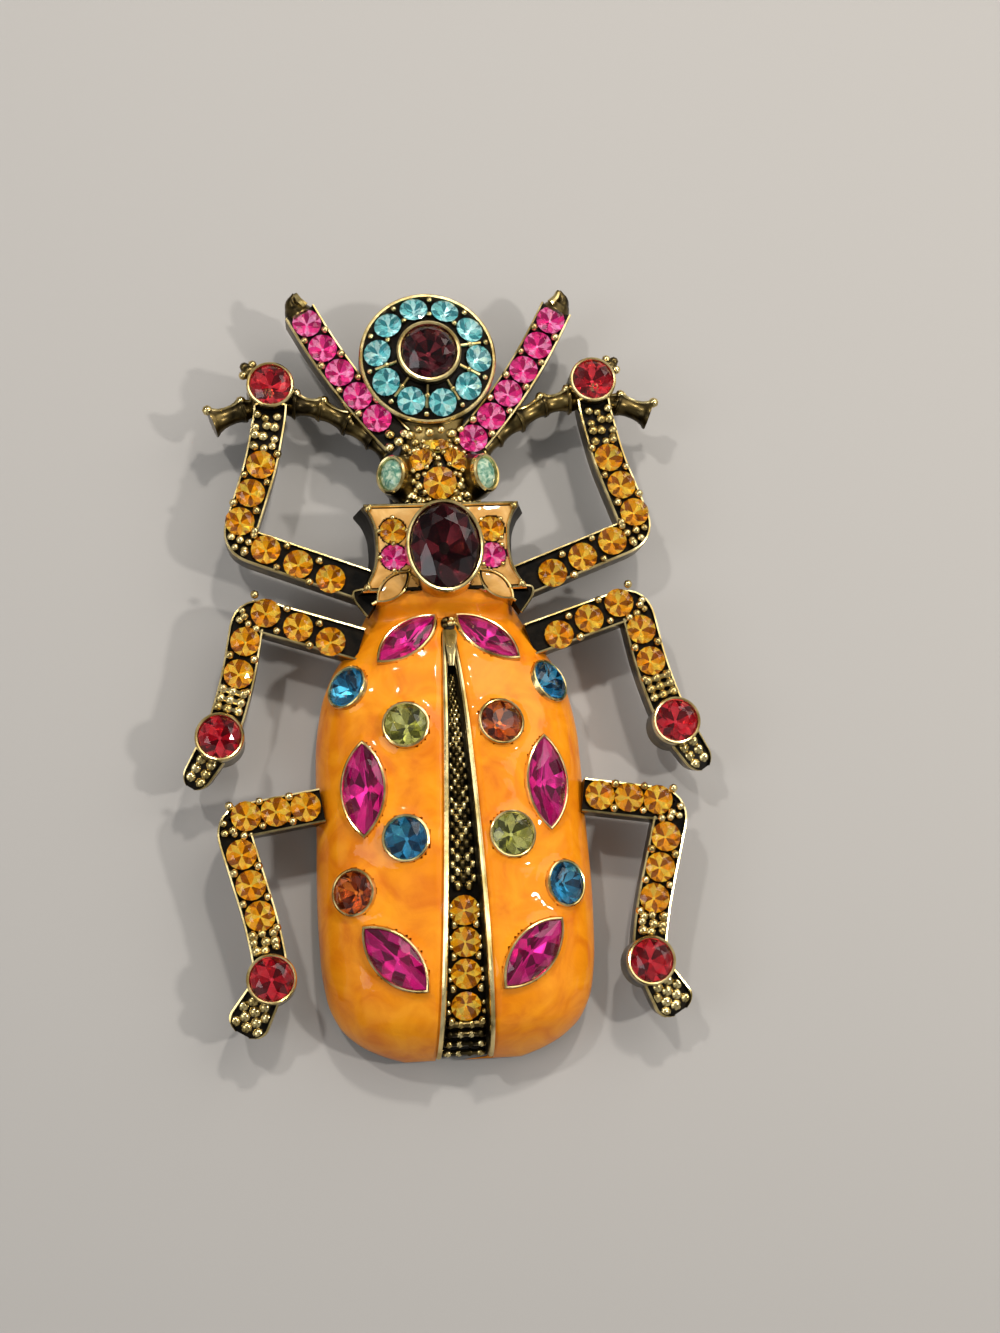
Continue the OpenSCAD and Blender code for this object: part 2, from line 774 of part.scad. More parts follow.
module thorax_enamel() {
    color(PALE_ORANGE)
        translate([0, 0, thorax_h - enamel_t]) linear_extrude(enamel_t) thorax_field(fit_gap);
}

module leaf_enamel() {
    color(PALE_ORANGE)
        at(leaf_seat)
            translate([0, 0, collar_lip - enamel_t])
                linear_extrude(enamel_t)
                    polygon(grown(leaf_outline, -fit_gap));
}

module wing_stone(side, k) {
    color(WING_COLOURS[side == "left" ? 0 : 1][k - 1])
        mirrored(side)
            at(wing_seat(k)) translate([0, 0, stone_lift]) cut_stone(wing_outline(k));
}

module thorax_stone(place) {
    at(thorax_seat(place, thorax_h, 0)) cut_stone(thorax_stone_outline, false);
}

module stone_row(places, z) {
    for (p = places) at(flat_seat(p, z)) cut_stone(small_outline, false);
}

// A bar with a block at its left end, a catch at its right end and the closed wire between them
hinge_l = 2.4;
catch_l = 2;
wire_inset = 1;
jaw_t = wire_d / 2;

module pin_end(x, length, width) {
    low = wire_low - jaw_t;
    translate([x, bar_y - width / 2, low]) cube([length, width, bar_z + bar_t / 2 - low]);
}

module pin_back() {
    color("#8d8770") {
        translate([-bar_l / 2, bar_y - bar_w / 2, bar_z]) cube([bar_l, bar_w, bar_t]);
        pin_end(-bar_l / 2, hinge_l, bar_w);
        pin_end(bar_l / 2 - catch_l, catch_l, bar_w / 2);
        translate([-bar_l / 2 + wire_inset, bar_y, wire_low + wire_d / 2])
            rotate([0, 90, 0]) cylinder(d = wire_d, h = bar_l - 2 * wire_inset, $fn = 24);
    }
}

casting();
wing_enamel();
color(AMETHYST) at(oval_seat) cut_stone(oval_outline);  // oval_stone
color(AMETHYST) at(disc_seat) cut_stone(disc_stone_outline);  // disc_stone
color(AQUA) for (k = [0:disc_count - 1]) at(disc_ring_seat(k)) cut_stone(small_outline, false);  // disc_ring_stones
color(AMBER) for (p = abdomen_places) at(abdomen_seat(p)) cut_stone(small_outline, false);  // abdomen_stones
pin_back();
for (k = [1:HEAD_STONES])
    color(AMBER) at(head_stone_seat(k)) cut_stone(head_stone_outline(k), false);
for (s = SIDES) {
    for (k = [1:WING_STONES])
        wing_stone(s, k);
    mirrored(s) thorax_enamel();
    mirrored(s) leaf_enamel();
    color(AMBER) mirrored(s) thorax_stone(thorax_amber_at);
    color(PINK) mirrored(s) thorax_stone(thorax_pink_at);
    color(OPAL) mirrored(s) at(eye_seat) cut_stone(eye_outline);
    color(PINK) mirrored(s)
            stone_row([for (k = [s == "left" ? left_empty : 0:horn_count]) horn_at(k / horn_count)], horn_h);
    for (g = LEGS) {
        color(AMBER) mirrored(s) stone_row(leg_places(g), leg_h);
        color(RUBY) mirrored(s) at(flat_seat(leg_point(g, FOOT), foot_z)) cut_stone(foot_outline);
    }
}
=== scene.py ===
"""Looks of a beetle brooch: antiqued metal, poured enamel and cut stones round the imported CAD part."""

import json
import logging
import math
from dataclasses import dataclass, field
from enum import Enum
from typing import Callable, ClassVar, Iterable, Sequence

import bmesh
import bpy
from mathutils import Matrix, Vector

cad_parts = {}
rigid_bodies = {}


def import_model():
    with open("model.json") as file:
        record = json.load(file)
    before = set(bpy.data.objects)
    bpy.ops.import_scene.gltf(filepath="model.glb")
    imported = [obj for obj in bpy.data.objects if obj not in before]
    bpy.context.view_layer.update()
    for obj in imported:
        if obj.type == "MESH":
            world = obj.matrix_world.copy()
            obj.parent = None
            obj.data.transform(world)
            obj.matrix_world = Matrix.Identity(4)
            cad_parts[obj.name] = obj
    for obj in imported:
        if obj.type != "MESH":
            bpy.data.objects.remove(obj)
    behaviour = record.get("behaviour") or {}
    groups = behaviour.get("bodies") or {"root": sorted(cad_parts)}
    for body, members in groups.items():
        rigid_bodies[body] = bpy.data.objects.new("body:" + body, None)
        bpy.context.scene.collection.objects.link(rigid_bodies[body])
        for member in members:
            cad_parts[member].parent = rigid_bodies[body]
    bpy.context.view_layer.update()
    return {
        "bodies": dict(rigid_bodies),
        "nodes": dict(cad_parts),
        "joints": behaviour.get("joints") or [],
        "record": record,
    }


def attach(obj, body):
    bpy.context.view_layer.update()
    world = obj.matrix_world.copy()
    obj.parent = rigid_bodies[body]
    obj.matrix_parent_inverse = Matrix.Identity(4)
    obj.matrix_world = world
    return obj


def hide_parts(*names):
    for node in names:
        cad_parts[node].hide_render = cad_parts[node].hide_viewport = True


MM = 0.001
UP = Vector((0.0, 0.0, 1.0))
OVAL_RATIO = 7.4 / 9.4
EYE_RATIO = 2.9 / 3.6
Place = tuple[float, float]
Colour = tuple[float, float, float]
Part = bmesh.types.BMesh
Material = bpy.types.Material
Socket = bpy.types.NodeSocket
log = logging.getLogger("brooch")


class Side(Enum):
    """A half of the brooch, seen from the front."""

    LEFT = -1
    RIGHT = 1

    @property
    def word(self) -> str:
        """The side's name in the CAD nodes."""
        return self.name.lower()


class Plan(Enum):
    """Outline of a cut stone seen from above."""

    ROUND = "round"
    OVAL = "oval"
    NAVETTE = "navette"


class Tone(Enum):
    """Places of the three metal finishes in a metal piece's list."""

    BRONZE = 0
    GOLD = 1
    RECESS = 2


def curve(table: Sequence[Sequence[float]], column: int, share: float) -> float:
    """Reads a smooth curve through a table without overshooting its values.

    Args:
        table: Rows whose first column rises.
        column: The column to read.
        share: Where to read, on the first column's scale.

    Returns:
        The value between the rows.
    """
    xs = [row[0] for row in table]
    ys = [row[column] for row in table]
    share = min(max(share, xs[0]), xs[-1])
    steps = [(ys[k + 1] - ys[k]) / (xs[k + 1] - xs[k]) for k in range(len(xs) - 1)]
    slopes = [steps[0]]
    for before, after in zip(steps, steps[1:]):
        slopes.append(0.0 if before * after <= 0 else 2 * before * after / (before + after))
    slopes.append(steps[-1])
    k = next((i for i in range(len(steps)) if share <= xs[i + 1]), len(steps) - 1)
    width = xs[k + 1] - xs[k]
    t = (share - xs[k]) / width
    return (
        ys[k] * (1 + 2 * t) * (1 - t) ** 2
        + slopes[k] * width * t * (1 - t) ** 2
        + ys[k + 1] * t * t * (3 - 2 * t)
        + slopes[k + 1] * width * t * t * (t - 1)
    )


def ramp(value: float, low: float, high: float) -> float:
    """Smooth step from 0 at low to 1 at high."""
    t = min(max((value - low) / (high - low), 0.0), 1.0)
    return t * t * (3 - 2 * t)


def circle(count: int) -> list[Place]:
    """Cosine and sine of evenly spaced turns."""
    return [(math.cos(math.tau * k / count), math.sin(math.tau * k / count)) for k in range(count)]


def rounded(points: Sequence[Vector], radius: float, steps: int = 6, most: float = 0.48) -> list[Vector]:
    """Path through the points with its corners rounded off.

    Args:
        points: Corners of the path.
        radius: Distance from a corner at which the rounding starts.
        steps: Pieces of each rounding.
        most: Largest share of a stretch that one corner takes.

    Returns:
        The path's points.
    """
    path = [points[0]]
    for before, corner, after in zip(points, points[1:], points[2:]):
        reach_in = min(radius, (corner - before).length * most)
        reach_out = min(radius, (after - corner).length * most)
        start = corner + (before - corner).normalized() * reach_in
        end = corner + (after - corner).normalized() * reach_out
        for k in range(steps + 1):
            t = k / steps
            path.append(start * (1 - t) ** 2 + corner * 2 * t * (1 - t) + end * t * t)
    path.append(points[-1])
    return path


def resampled(path: Sequence[Vector], step: float) -> list[Vector]:
    """Path with points at even spacing.

    Args:
        path: Points of the path.
        step: Spacing to come near.

    Returns:
        The new points.
    """
    lengths = [0.0]
    for a, b in zip(path, path[1:]):
        lengths.append(lengths[-1] + (b - a).length)
    count = max(2, round(lengths[-1] / step))
    made = []
    k = 0
    for n in range(count + 1):
        at = lengths[-1] * n / count
        while k < len(lengths) - 2 and lengths[k + 1] < at:
            k += 1
        span = max(lengths[k + 1] - lengths[k], 1e-9)
        made.append(path[k].lerp(path[k + 1], (at - lengths[k]) / span))
    return made


def frames(path: Sequence[Vector]) -> list[Matrix]:
    """Frames along a path.

    Args:
        path: Points of the path.

    Returns:
        One matrix a point: x to the path's right, y upwards, z along it.
    """
    made = []
    for k, point in enumerate(path):
        along = (path[min(k + 1, len(path) - 1)] - path[max(k - 1, 0)]).normalized()
        right = along.cross(UP).normalized()
        up = right.cross(along)
        made.append(Matrix.Translation(point) @ Matrix((right, up, along)).transposed().to_4x4())
    return made


def merge(part: Part, distance: float) -> None:
    """Merges vertices nearer than a distance."""
    bmesh.ops.remove_doubles(part, verts=part.verts[:], dist=distance)


def rims(part: Part) -> list[bmesh.types.BMEdge]:
    """Open edges of a part."""
    return [e for e in part.edges if e.is_boundary]


def smooth(part: Part) -> None:
    """Shades a part's faces smooth."""
    for face in part.faces:
        face.smooth = True


def thicken(part: Part, thickness: float) -> None:
    """Turns a sheet to face up and gives it a thickness below.

    Args:
        part: The sheet.
        thickness: Its thickness.
    """
    bmesh.ops.recalc_face_normals(part, faces=part.faces[:])
    if sum(f.normal.z * f.calc_area() for f in part.faces) < 0:
        bmesh.ops.reverse_faces(part, faces=part.faces[:])
    bmesh.ops.solidify(part, geom=part.faces[:], thickness=thickness)
    smooth(part)


def show(name: str, data: bpy.types.ID) -> bpy.types.Object:
    """Puts data into the scene.

    Args:
        name: The object's name.
        data: Its mesh, light or camera.

    Returns:
        The object.
    """
    made = bpy.data.objects.new(name, data)
    bpy.context.scene.collection.objects.link(made)
    return made


@dataclass(frozen=True)
class Shape:
    """Outline of a stone: its plan, half its length and half its width."""

    plan: Plan
    a: float
    b: float

    def arc(self) -> tuple[float, float]:
        """Radius of a navette's arcs and how far their centres lie beyond the long axis."""
        r = (self.a**2 + self.b**2) / (2 * self.b)
        return r, r - self.b

    def grown(self, extra: float) -> "Shape":
        """Moves the outline outwards.

        Args:
            extra: How far it moves.

        Returns:
            The new outline.
        """
        if self.plan is Plan.NAVETTE:
            r, c = self.arc()
            return Shape(self.plan, math.sqrt((r + extra) ** 2 - c * c), self.b + extra)
        return Shape(self.plan, self.a + extra, self.b + extra)

    def point(self, turn: float) -> Place:
        """Finds a point of the outline.

        Args:
            turn: Share of a turn round the outline.

        Returns:
            The point.
        """
        turn %= 1.0
        if self.plan is Plan.NAVETTE:
            r, c = self.arc()
            way = 1 if turn < 0.5 else -1
            angle = math.asin(self.a / r) * (1 - 2 * ((turn * 2) % 1.0))
            return way * r * math.sin(angle), way * (r * math.cos(angle) - c)
        return self.a * math.cos(math.tau * turn), self.b * math.sin(math.tau * turn)

    def distance(self, x: float, y: float) -> float:
        """Measures how far a place is from the outline.

        Args:
            x: Place along the long axis.
            y: Place along the short axis.

        Returns:
            The distance, negative inside.
        """
        if self.plan is Plan.NAVETTE:
            r, c = self.arc()
            return math.hypot(x, abs(y) + c) - r
        return (math.hypot(x / self.a, y / self.b) - 1) * min(self.a, self.b)


@dataclass(frozen=True)
class Seat:
    """Where a cut stone sits, in millimetres, read from its CAD solid."""

    matrix: Matrix
    half_length: float
    same_plane: ClassVar[float] = 0.9995
    above_culet: ClassVar[float] = 0.15
    girdle_slack: ClassVar[float] = 0.04

    @property
    def centre(self) -> Vector:
        """Middle of the girdle's lower edge."""
        return self.matrix.translation

    @classmethod
    def all_of(cls, node: bpy.types.Object) -> list["Seat"]:
        """Seats of each solid of a node, in the order of their vertices.

        Args:
            node: A CAD node made of cut stones.

        Returns:
            One seat for each stone.
        """
        bm = bmesh.new()
        bm.from_mesh(node.data)
        merge(bm, 2e-6)
        seen: set[int] = set()
        seats = []
        for first in list(bm.verts):
            if first.index in seen or not first.link_faces:
                continue
            stack, island = [first], []
            seen.add(first.index)
            while stack:
                vert = stack.pop()
                island.append(vert)
                for edge in vert.link_edges:
                    other = edge.other_vert(vert)
                    if other.index not in seen:
                        seen.add(other.index)
                        stack.append(other)
            seats.append(cls.of_island(island))
        bm.free()
        return seats

    @classmethod
    def of_island(cls, island: Sequence[bmesh.types.BMVert]) -> "Seat":
        """Seat of one stone, from its table and the ring of its girdle.

        Args:
            island: The vertices of the stone's solid.

        Returns:
            The seat.
        """
        faces = {f.index: f for v in island for f in v.link_faces}.values()
        areas = [(sum(g.calc_area() for g in faces if g.normal.dot(f.normal) > cls.same_plane), f.index, f)
                 for f in faces]
        axis = max(areas)[2].normal.normalized()
        points = [v.co / MM for v in island]
        low = min(p.dot(axis) for p in points)
        level = min(p.dot(axis) for p in points if p.dot(axis) > low + cls.above_culet)
        ring = [p for p in points if abs(p.dot(axis) - level) < cls.girdle_slack]
        centre = sum(ring, Vector()) / len(ring)
        far = max(ring, key=lambda p: round((p - centre).length, 3))
        along = (far - centre).normalized()
        across = axis.cross(along).normalized()
        along = across.cross(axis)
        turn = Matrix((along, across, axis)).transposed().to_4x4()
        return cls(Matrix.Translation(centre) @ turn, (far - centre).length)


Setting = tuple[Seat, Shape]


@dataclass(frozen=True)
class Nodes:
    """Node tree of one material, with short calls for the nodes used here."""

    material: Material

    @classmethod
    def new(cls, name: str) -> "Nodes":
        """Starts a material with an empty tree.

        Args:
            name: The material's name.

        Returns:
            Its node tree.
        """
        material = bpy.data.materials.new(name)
        material.use_nodes = True
        material.node_tree.nodes.clear()
        return cls(material)

    def add(self, kind: str, **values: object) -> bpy.types.Node:
        """Adds a node.

        Args:
            kind: The node's type.
            values: Its properties and inputs, with underscores for blanks.

        Returns:
            The node.
        """
        node = self.material.node_tree.nodes.new(kind)
        for name, value in values.items():
            if hasattr(node, name):
                setattr(node, name, value)
            else:
                node.inputs[name.replace("_", " ")].default_value = value
        return node

    def link(self, a: Socket, b: Socket) -> None:
        """Links an output to an input."""
        self.material.node_tree.links.new(a, b)

    def noise(self, scale: float, detail: float, distortion: float = 0.0) -> Socket:
        """Adds noise over Object coordinates.

        Args:
            scale: Its scale per metre.
            detail: Its octaves.
            distortion: How far it is drawn about.

        Returns:
            Its value.
        """
        node = self.add("ShaderNodeTexNoise", Scale=1.0, Detail=detail, Distortion=distortion)
        where = self.add("ShaderNodeTexCoord")
        mapping = self.add("ShaderNodeMapping", Scale=(scale, scale, scale))
        self.link(where.outputs["Object"], mapping.inputs["Vector"])
        self.link(mapping.outputs["Vector"], node.inputs["Vector"])
        return node.outputs["Fac"]

    def ramp(self, value: Socket, stops: Sequence[tuple[float, Sequence[float]]]) -> Socket:
        """Adds a colour ramp.

        Args:
            value: What it reads.
            stops: Places with their colours.

        Returns:
            Its colour.
        """
        node = self.add("ShaderNodeValToRGB")
        while len(node.color_ramp.elements) < len(stops):
            node.color_ramp.elements.new(0.5)
        for element, (at, colour) in zip(node.color_ramp.elements, stops):
            element.position = at
            element.color = (*colour, 1.0)
        self.link(value, node.inputs["Fac"])
        return node.outputs["Color"]

    def bump(self, value: Socket, height: float) -> Socket:
        """Adds a bump.

        Args:
            value: The relief.
            height: Its height in metres.

        Returns:
            The bent normal.
        """
        node = self.add("ShaderNodeBump", Strength=1.0, Distance=height)
        self.link(value, node.inputs["Height"])
        return node.outputs["Normal"]

    def close(self, shader: bpy.types.Node) -> Material:
        """Links a shader to the output.

        Args:
            shader: The shader.

        Returns:
            The finished material.
        """
        out = self.add("ShaderNodeOutputMaterial")
        self.link(shader.outputs[0], out.inputs["Surface"])
        return self.material


@dataclass(frozen=True)
class Metal:
    """Cast metal whose colour drifts between two tones, with a slightly uneven skin."""

    name: str
    bright: Colour
    dark: Colour
    roughness: float
    grain: float = 900.0
    metallic: float = 1.0
    specular: float = 0.5
    height: float = 0.00003
    drift: float = 0.45

    def make(self) -> Material:
        """Builds the material.

        Returns:
            The material.
        """
        nodes = Nodes.new(self.name)
        shader = nodes.add("ShaderNodeBsdfPrincipled", Metallic=self.metallic, Roughness=self.roughness,
                           Specular_IOR_Level=self.specular)
        drift = nodes.noise(self.grain * self.drift, 4.0, 0.6)
        nodes.link(nodes.ramp(drift, [(0.37, self.dark), (0.62, self.bright)]), shader.inputs["Base Color"])
        nodes.link(nodes.bump(nodes.noise(self.grain, 3.0), self.height), shader.inputs["Normal"])
        return nodes.close(shader)


@dataclass(frozen=True)
class Enamel:
    """Pearly poured enamel: cloudy streaks under a smooth clear surface."""

    name: str
    pale: Colour
    middle: Colour
    deep: Colour
    cloud: float = 210.0
    wave: float = 260.0
    wave_height: float = 0.00013
    grain: float = 420.0
    grain_height: float = 0.00008

    def make(self) -> Material:
        """Builds the material.

        Returns:
            The material.
        """
        nodes = Nodes.new(self.name)
        shader = nodes.add("ShaderNodeBsdfPrincipled", Roughness=0.5, Specular_IOR_Level=0.12, Coat_Weight=0.45,
                           Coat_Roughness=0.03, Coat_IOR=1.52)
        cloud = nodes.noise(self.cloud, 5.0, 1.3)
        colour = nodes.ramp(cloud, [(0.30, self.deep), (0.50, self.middle), (0.72, self.pale)])
        nodes.link(colour, shader.inputs["Base Color"])
        nodes.link(nodes.bump(nodes.noise(self.wave, 3.0), self.wave_height), shader.inputs["Coat Normal"])
        nodes.link(nodes.bump(nodes.noise(self.grain, 3.0, 0.8), self.grain_height), shader.inputs["Normal"])
        return nodes.close(shader)


@dataclass(frozen=True)
class Gem:
    """Foil-backed glass: a clear tinted crown over mirrored facets in three painted tones of light and shade,
    standing in for their reflections, that give off a little painted glow.
    """

    name: str
    glass: Colour
    # bright, middle and deep: painted reflection tones of the foil, lit and shaded copies of one colour
    bright: Colour
    middle: Colour
    deep: Colour
    # painted glow: emission that lights the foil facets though they are no lamp
    painted_glow: float
    dim: float = 0.8

    def make(self) -> list[Material]:
        """Builds the materials.

        Returns:
            The crown's, then those of the bright, middle and deep facets: lit and shaded copies of one foil,
            painted reflections.
        """
        crown = Nodes.new(self.name + "_glass")
        made = [crown.close(crown.add("ShaderNodeBsdfPrincipled", Base_Color=(*self.glass, 1.0),
                                      Transmission_Weight=1.0, Roughness=0.0, IOR=1.54))]
        # Three foil materials in painted tones of light and shade, standing in for the facets' reflections
        for word, tone in (("bright", self.bright), ("middle", self.middle), ("deep", self.deep)):
            back = Nodes.new(f"{self.name}_foil_{word}")
            # The emission is a painted glow that brightens the foil, which is no lamp
            mirror = back.add("ShaderNodeBsdfPrincipled", Metallic=0.75, Roughness=0.18,
                              Emission_Color=(*tone, 1.0), Emission_Strength=self.painted_glow)
            stops = [(0.35, tuple(self.dim * c for c in tone)), (0.62, tone)]
            back.link(back.ramp(back.noise(900.0, 2.0), stops), mirror.inputs["Base Color"])
            made.append(back.close(mirror))
        return made


@dataclass(frozen=True)
class Opal:
    """Milky stone with paler flecks."""

    name: str
    stops: tuple = ((0.36, (0.07, 0.20, 0.14)), (0.50, (0.22, 0.38, 0.27)), (0.72, (0.60, 0.68, 0.50)))

    def make(self) -> list[Material]:
        """Builds the material.

        Returns:
            The one material, for the crown and the three kinds of facets.
        """
        nodes = Nodes.new(self.name)
        shader = nodes.add("ShaderNodeBsdfPrincipled", Roughness=0.12, Coat_Weight=0.8, Coat_Roughness=0.02)
        nodes.link(nodes.ramp(nodes.noise(1500.0, 3.0, 1.0), self.stops), shader.inputs["Base Color"])
        return [nodes.close(shader)] * 4


class Finishes:
    """All the finishes of the brooch, made once."""

    # Each gem: crown tint, then the bright, middle and deep painted reflection tones of its foil, then its
    # painted glow
    GEMS = (
        Gem("dark_amethyst", (0.74, 0.44, 0.48), (0.30, 0.06, 0.08), (0.085, 0.013, 0.02), (0.022, 0.004, 0.007),
            0.08),
        Gem("fuchsia", (1.0, 0.56, 0.82), (1.0, 0.05, 0.46), (0.58, 0.010, 0.23), (0.18, 0.002, 0.06), 0.16),
        Gem("blue", (0.62, 0.88, 1.0), (0.12, 0.54, 0.76), (0.02, 0.22, 0.37), (0.006, 0.05, 0.10), 0.12),
        Gem("aqua", (0.90, 0.99, 0.98), (0.74, 1.0, 0.97), (0.28, 0.72, 0.72), (0.05, 0.28, 0.32), 0.24),
        Gem("peridot", (0.95, 0.96, 0.74), (0.82, 0.82, 0.36), (0.42, 0.41, 0.10), (0.10, 0.10, 0.02), 0.12),
        Gem("topaz", (1.0, 0.76, 0.54), (0.86, 0.27, 0.04), (0.38, 0.075, 0.01), (0.11, 0.016, 0.004), 0.12),
        Gem("amber", (1.0, 0.95, 0.60), (1.0, 0.78, 0.14), (0.92, 0.45, 0.012), (0.36, 0.115, 0.003), 0.22),
        Gem("pink", (1.0, 0.86, 0.94), (1.0, 0.44, 0.70), (0.92, 0.05, 0.34), (0.40, 0.01, 0.13), 0.28),
        Gem("ruby", (1.0, 0.62, 0.66), (0.95, 0.08, 0.12), (0.50, 0.008, 0.03), (0.15, 0.003, 0.01), 0.14),
        Opal("opal"),
    )
    METALS = (
        Metal("antique_bronze", (0.17, 0.12, 0.042), (0.030, 0.022, 0.010), 0.30),
        Metal("pale_gold", (0.92, 0.74, 0.36), (0.46, 0.33, 0.11), 0.20, 700.0),
        Metal("dark_recess", (0.010, 0.007, 0.004), (0.002, 0.0016, 0.0009), 0.42, 1300.0, 0.0, 0.06),
    )
    STEEL = Metal("pin_steel", (0.55, 0.53, 0.47), (0.34, 0.32, 0.28), 0.26)
    ORANGE = Enamel("orange_enamel", (0.87, 0.315, 0.008), (0.78, 0.245, 0.003), (0.66, 0.165, 0.002))
    PEACH = Enamel("peach_enamel", (0.72, 0.46, 0.17), (0.56, 0.30, 0.08), (0.36, 0.17, 0.03))

    def __init__(self) -> None:
        """Makes the materials, the metals in the order of Tone."""
        self.metals = [metal.make() for metal in self.METALS]
        self.steel, self.orange, self.peach = (f.make() for f in (self.STEEL, self.ORANGE, self.PEACH))
        self.gems = {gem.name: gem.make() for gem in self.GEMS}


@dataclass(frozen=True)
class Cut:
    """Proportions of a cut stone as shares of its width, and the painted reflection tones of its foil facets by
    turns.
    """

    table: float = 0.56
    crown: float = 0.16
    bezel: float = 0.80
    bezel_height: float = 0.098
    waist: float = 0.52
    waist_depth: float = 0.20
    culet: float = 0.10
    culet_depth: float = 0.345
    inner_below: float = 0.19
    # Facets below this depth are painted bright: a painted glint at the culet
    painted_glint_below: float = 0.34
    # Painted reflection tone of each facet by turns: 1 bright, 2 middle, 3 deep
    tones: tuple = (1, 3, 2, 1, 2, 3)

    def rings(self, facets: int, width: float, edge: float) -> list[tuple[int, float, float, float]]:
        """Rings of corners from the table to the culet.

        Args:
            facets: Sides of the table.
            width: The stone's width.
            edge: Height of the girdle's upper edge.

        Returns:
            For each ring its corners, its share of the outline, its height and its turn in corners.
        """
        made = [(facets, self.table, edge + self.crown * width, 0.0),
                (facets, self.bezel, edge + self.bezel_height * width, 0.5)]
        made += [(2 * facets, 1.0, z, 0.0) for z in ({edge, 0.0} if edge else {0.0})]
        return made + [(facets, self.waist, -self.waist_depth * width, 0.5),
                       (facets, self.culet, -self.culet_depth * width, 0.5)]


class Bench:
    """One mesh in the making, in millimetres."""

    CUT = Cut()
    PIT_REACH = (-2.0, 1.0)
    MERGE = 0.002
    LID_SIDES = 32
    PAD_SHARES = (1.0, 0.93, 0.78, 0.5, 0.0)
    PAD_ROUNDNESS = 2.6

    def __init__(self) -> None:
        """Starts with nothing."""
        self.bm = bmesh.new()

    @staticmethod
    def join(target: Part, part: Part) -> None:
        """Adds a part to another and frees it.

        Args:
            target: What it is added to.
            part: The part.
        """
        mesh = bpy.data.meshes.new("part")
        part.to_mesh(mesh)
        target.from_mesh(mesh)
        bpy.data.meshes.remove(mesh)
        part.free()

    def take(self, part: Part, distance: float = MERGE) -> None:
        """Merges a part's doubles, turns its normals outwards and adds it.

        Args:
            part: The part.
            distance: Distance under which vertices are doubles.
        """
        merge(part, distance)
        bmesh.ops.delete(part, geom=[v for v in part.verts if not v.link_faces], context="VERTS")
        bmesh.ops.recalc_face_normals(part, faces=part.faces[:])
        self.join(self.bm, part)

    @staticmethod
    def skin(rows: Sequence[Sequence[Vector]], tone: Tone | Callable[[int, int], Tone] = Tone.BRONZE,
             closed_across: bool = False, closed_along: bool = False) -> Part:
        """Lays a grid over rows of points.

        Args:
            rows: Rows with the same number of points.
            tone: The finish, or a function of the column and the row.
            closed_across: Whether each row is a closed loop.
            closed_along: Whether the last row joins the first.

        Returns:
            The part, its closed sides still to be merged.
        """
        across = len(rows[0]) - (0 if closed_across else 1)
        along = len(rows) - (0 if closed_along else 1)
        part = bmesh.new()
        bmesh.ops.create_grid(part, x_segments=across, y_segments=along, size=0.5)
        for face in part.faces:
            middle = face.calc_center_median()
            i = int((middle.x + 0.5) * across)
            j = int((middle.y + 0.5) * along)
            face.material_index = (tone if isinstance(tone, Tone) else tone(i, j)).value
        for vert in part.verts:
            i = round((vert.co.x + 0.5) * across) % len(rows[0])
            j = round((vert.co.y + 0.5) * along) % len(rows)
            vert.co = rows[j][i]
        smooth(part)
        return part

    def loft(self, rows: Sequence[Sequence[Vector]], tone: Tone | Callable[[int, int], Tone] = Tone.BRONZE,
             closed_across: bool = False, closed_along: bool = False, capped: bool = False) -> None:
        """Adds a skin over rows of points.

        Args:
            rows: Rows with the same number of points.
            tone: The finish, or a function of the column and the row.
            closed_across: Whether each row is a closed loop.
            closed_along: Whether the last row joins the first.
            capped: Whether the open ends are filled.
        """
        part = self.skin(rows, tone, closed_across, closed_along)
        if capped:
            self.cap(part)
        self.take(part)

    def cap(self, part: Part) -> None:
        """Merges a part's doubles and fills its open ends."""
        merge(part, self.MERGE)
        bmesh.ops.holes_fill(part, edges=rims(part), sides=0)

    def drill(self, part: Part, stones: Iterable[Setting], margin: float = 0.3, depth: float = 1.9,
              dip: float = 0.0) -> None:
        """Sinks a pit under each stone, so nothing shows through its glass.

        Args:
            part: The part.
            stones: Seats and outlines.
            margin: How far inside the outline the pit's edge stays.
            depth: Depth of the pit.
            dip: How far a wall sinks where a stone lies over it, or 0 where there are no walls.
        """
        low, high = self.PIT_REACH
        for seat, shape in stones:
            inverse = seat.matrix.inverted()
            turn = seat.matrix.to_3x3()
            gone = []
            for vert in part.verts:
                local = inverse @ vert.co
                if low < local.z < high and shape.distance(local.x, local.y) < -margin:
                    if dip and any(f.material_index != Tone.RECESS.value for f in vert.link_faces):
                        vert.co -= turn @ Vector((0, 0, dip))
                    else:
                        gone.append(vert)
            open_before = set(rims(part))
            bmesh.ops.delete(part, geom=gone, context="VERTS")
            edges = [e for e in rims(part) if e not in open_before]
            wall = bmesh.ops.extrude_edge_only(part, edges=edges)["geom"]
            foot = [g for g in wall if isinstance(g, bmesh.types.BMVert)]
            bmesh.ops.translate(part, vec=turn @ Vector((0, 0, -depth)), verts=foot)
            foot = [g for g in wall if isinstance(g, bmesh.types.BMEdge) and g.is_boundary]
            bmesh.ops.holes_fill(part, edges=foot, sides=0)

    def tube(self, path: Sequence[Vector], radius: float | Sequence[float], sides: int = 8,
             tone: Tone = Tone.GOLD) -> None:
        """Round bar along a path, closed at its ends.

        Args:
            path: Points of the path.
            radius: Its radius, or one for each point.
            sides: Sides round it.
            tone: The finish.
        """
        radii = [radius] * len(path) if isinstance(radius, (int, float)) else list(radius)
        turned = frames(path)
        rows = [[m @ Vector((r * c, r * s, 0)) for c, s in circle(sides)]
                for m, r in zip([turned[0], *turned, turned[-1]], [0.0, *radii, 0.0])]
        self.loft(rows, tone, closed_across=True)

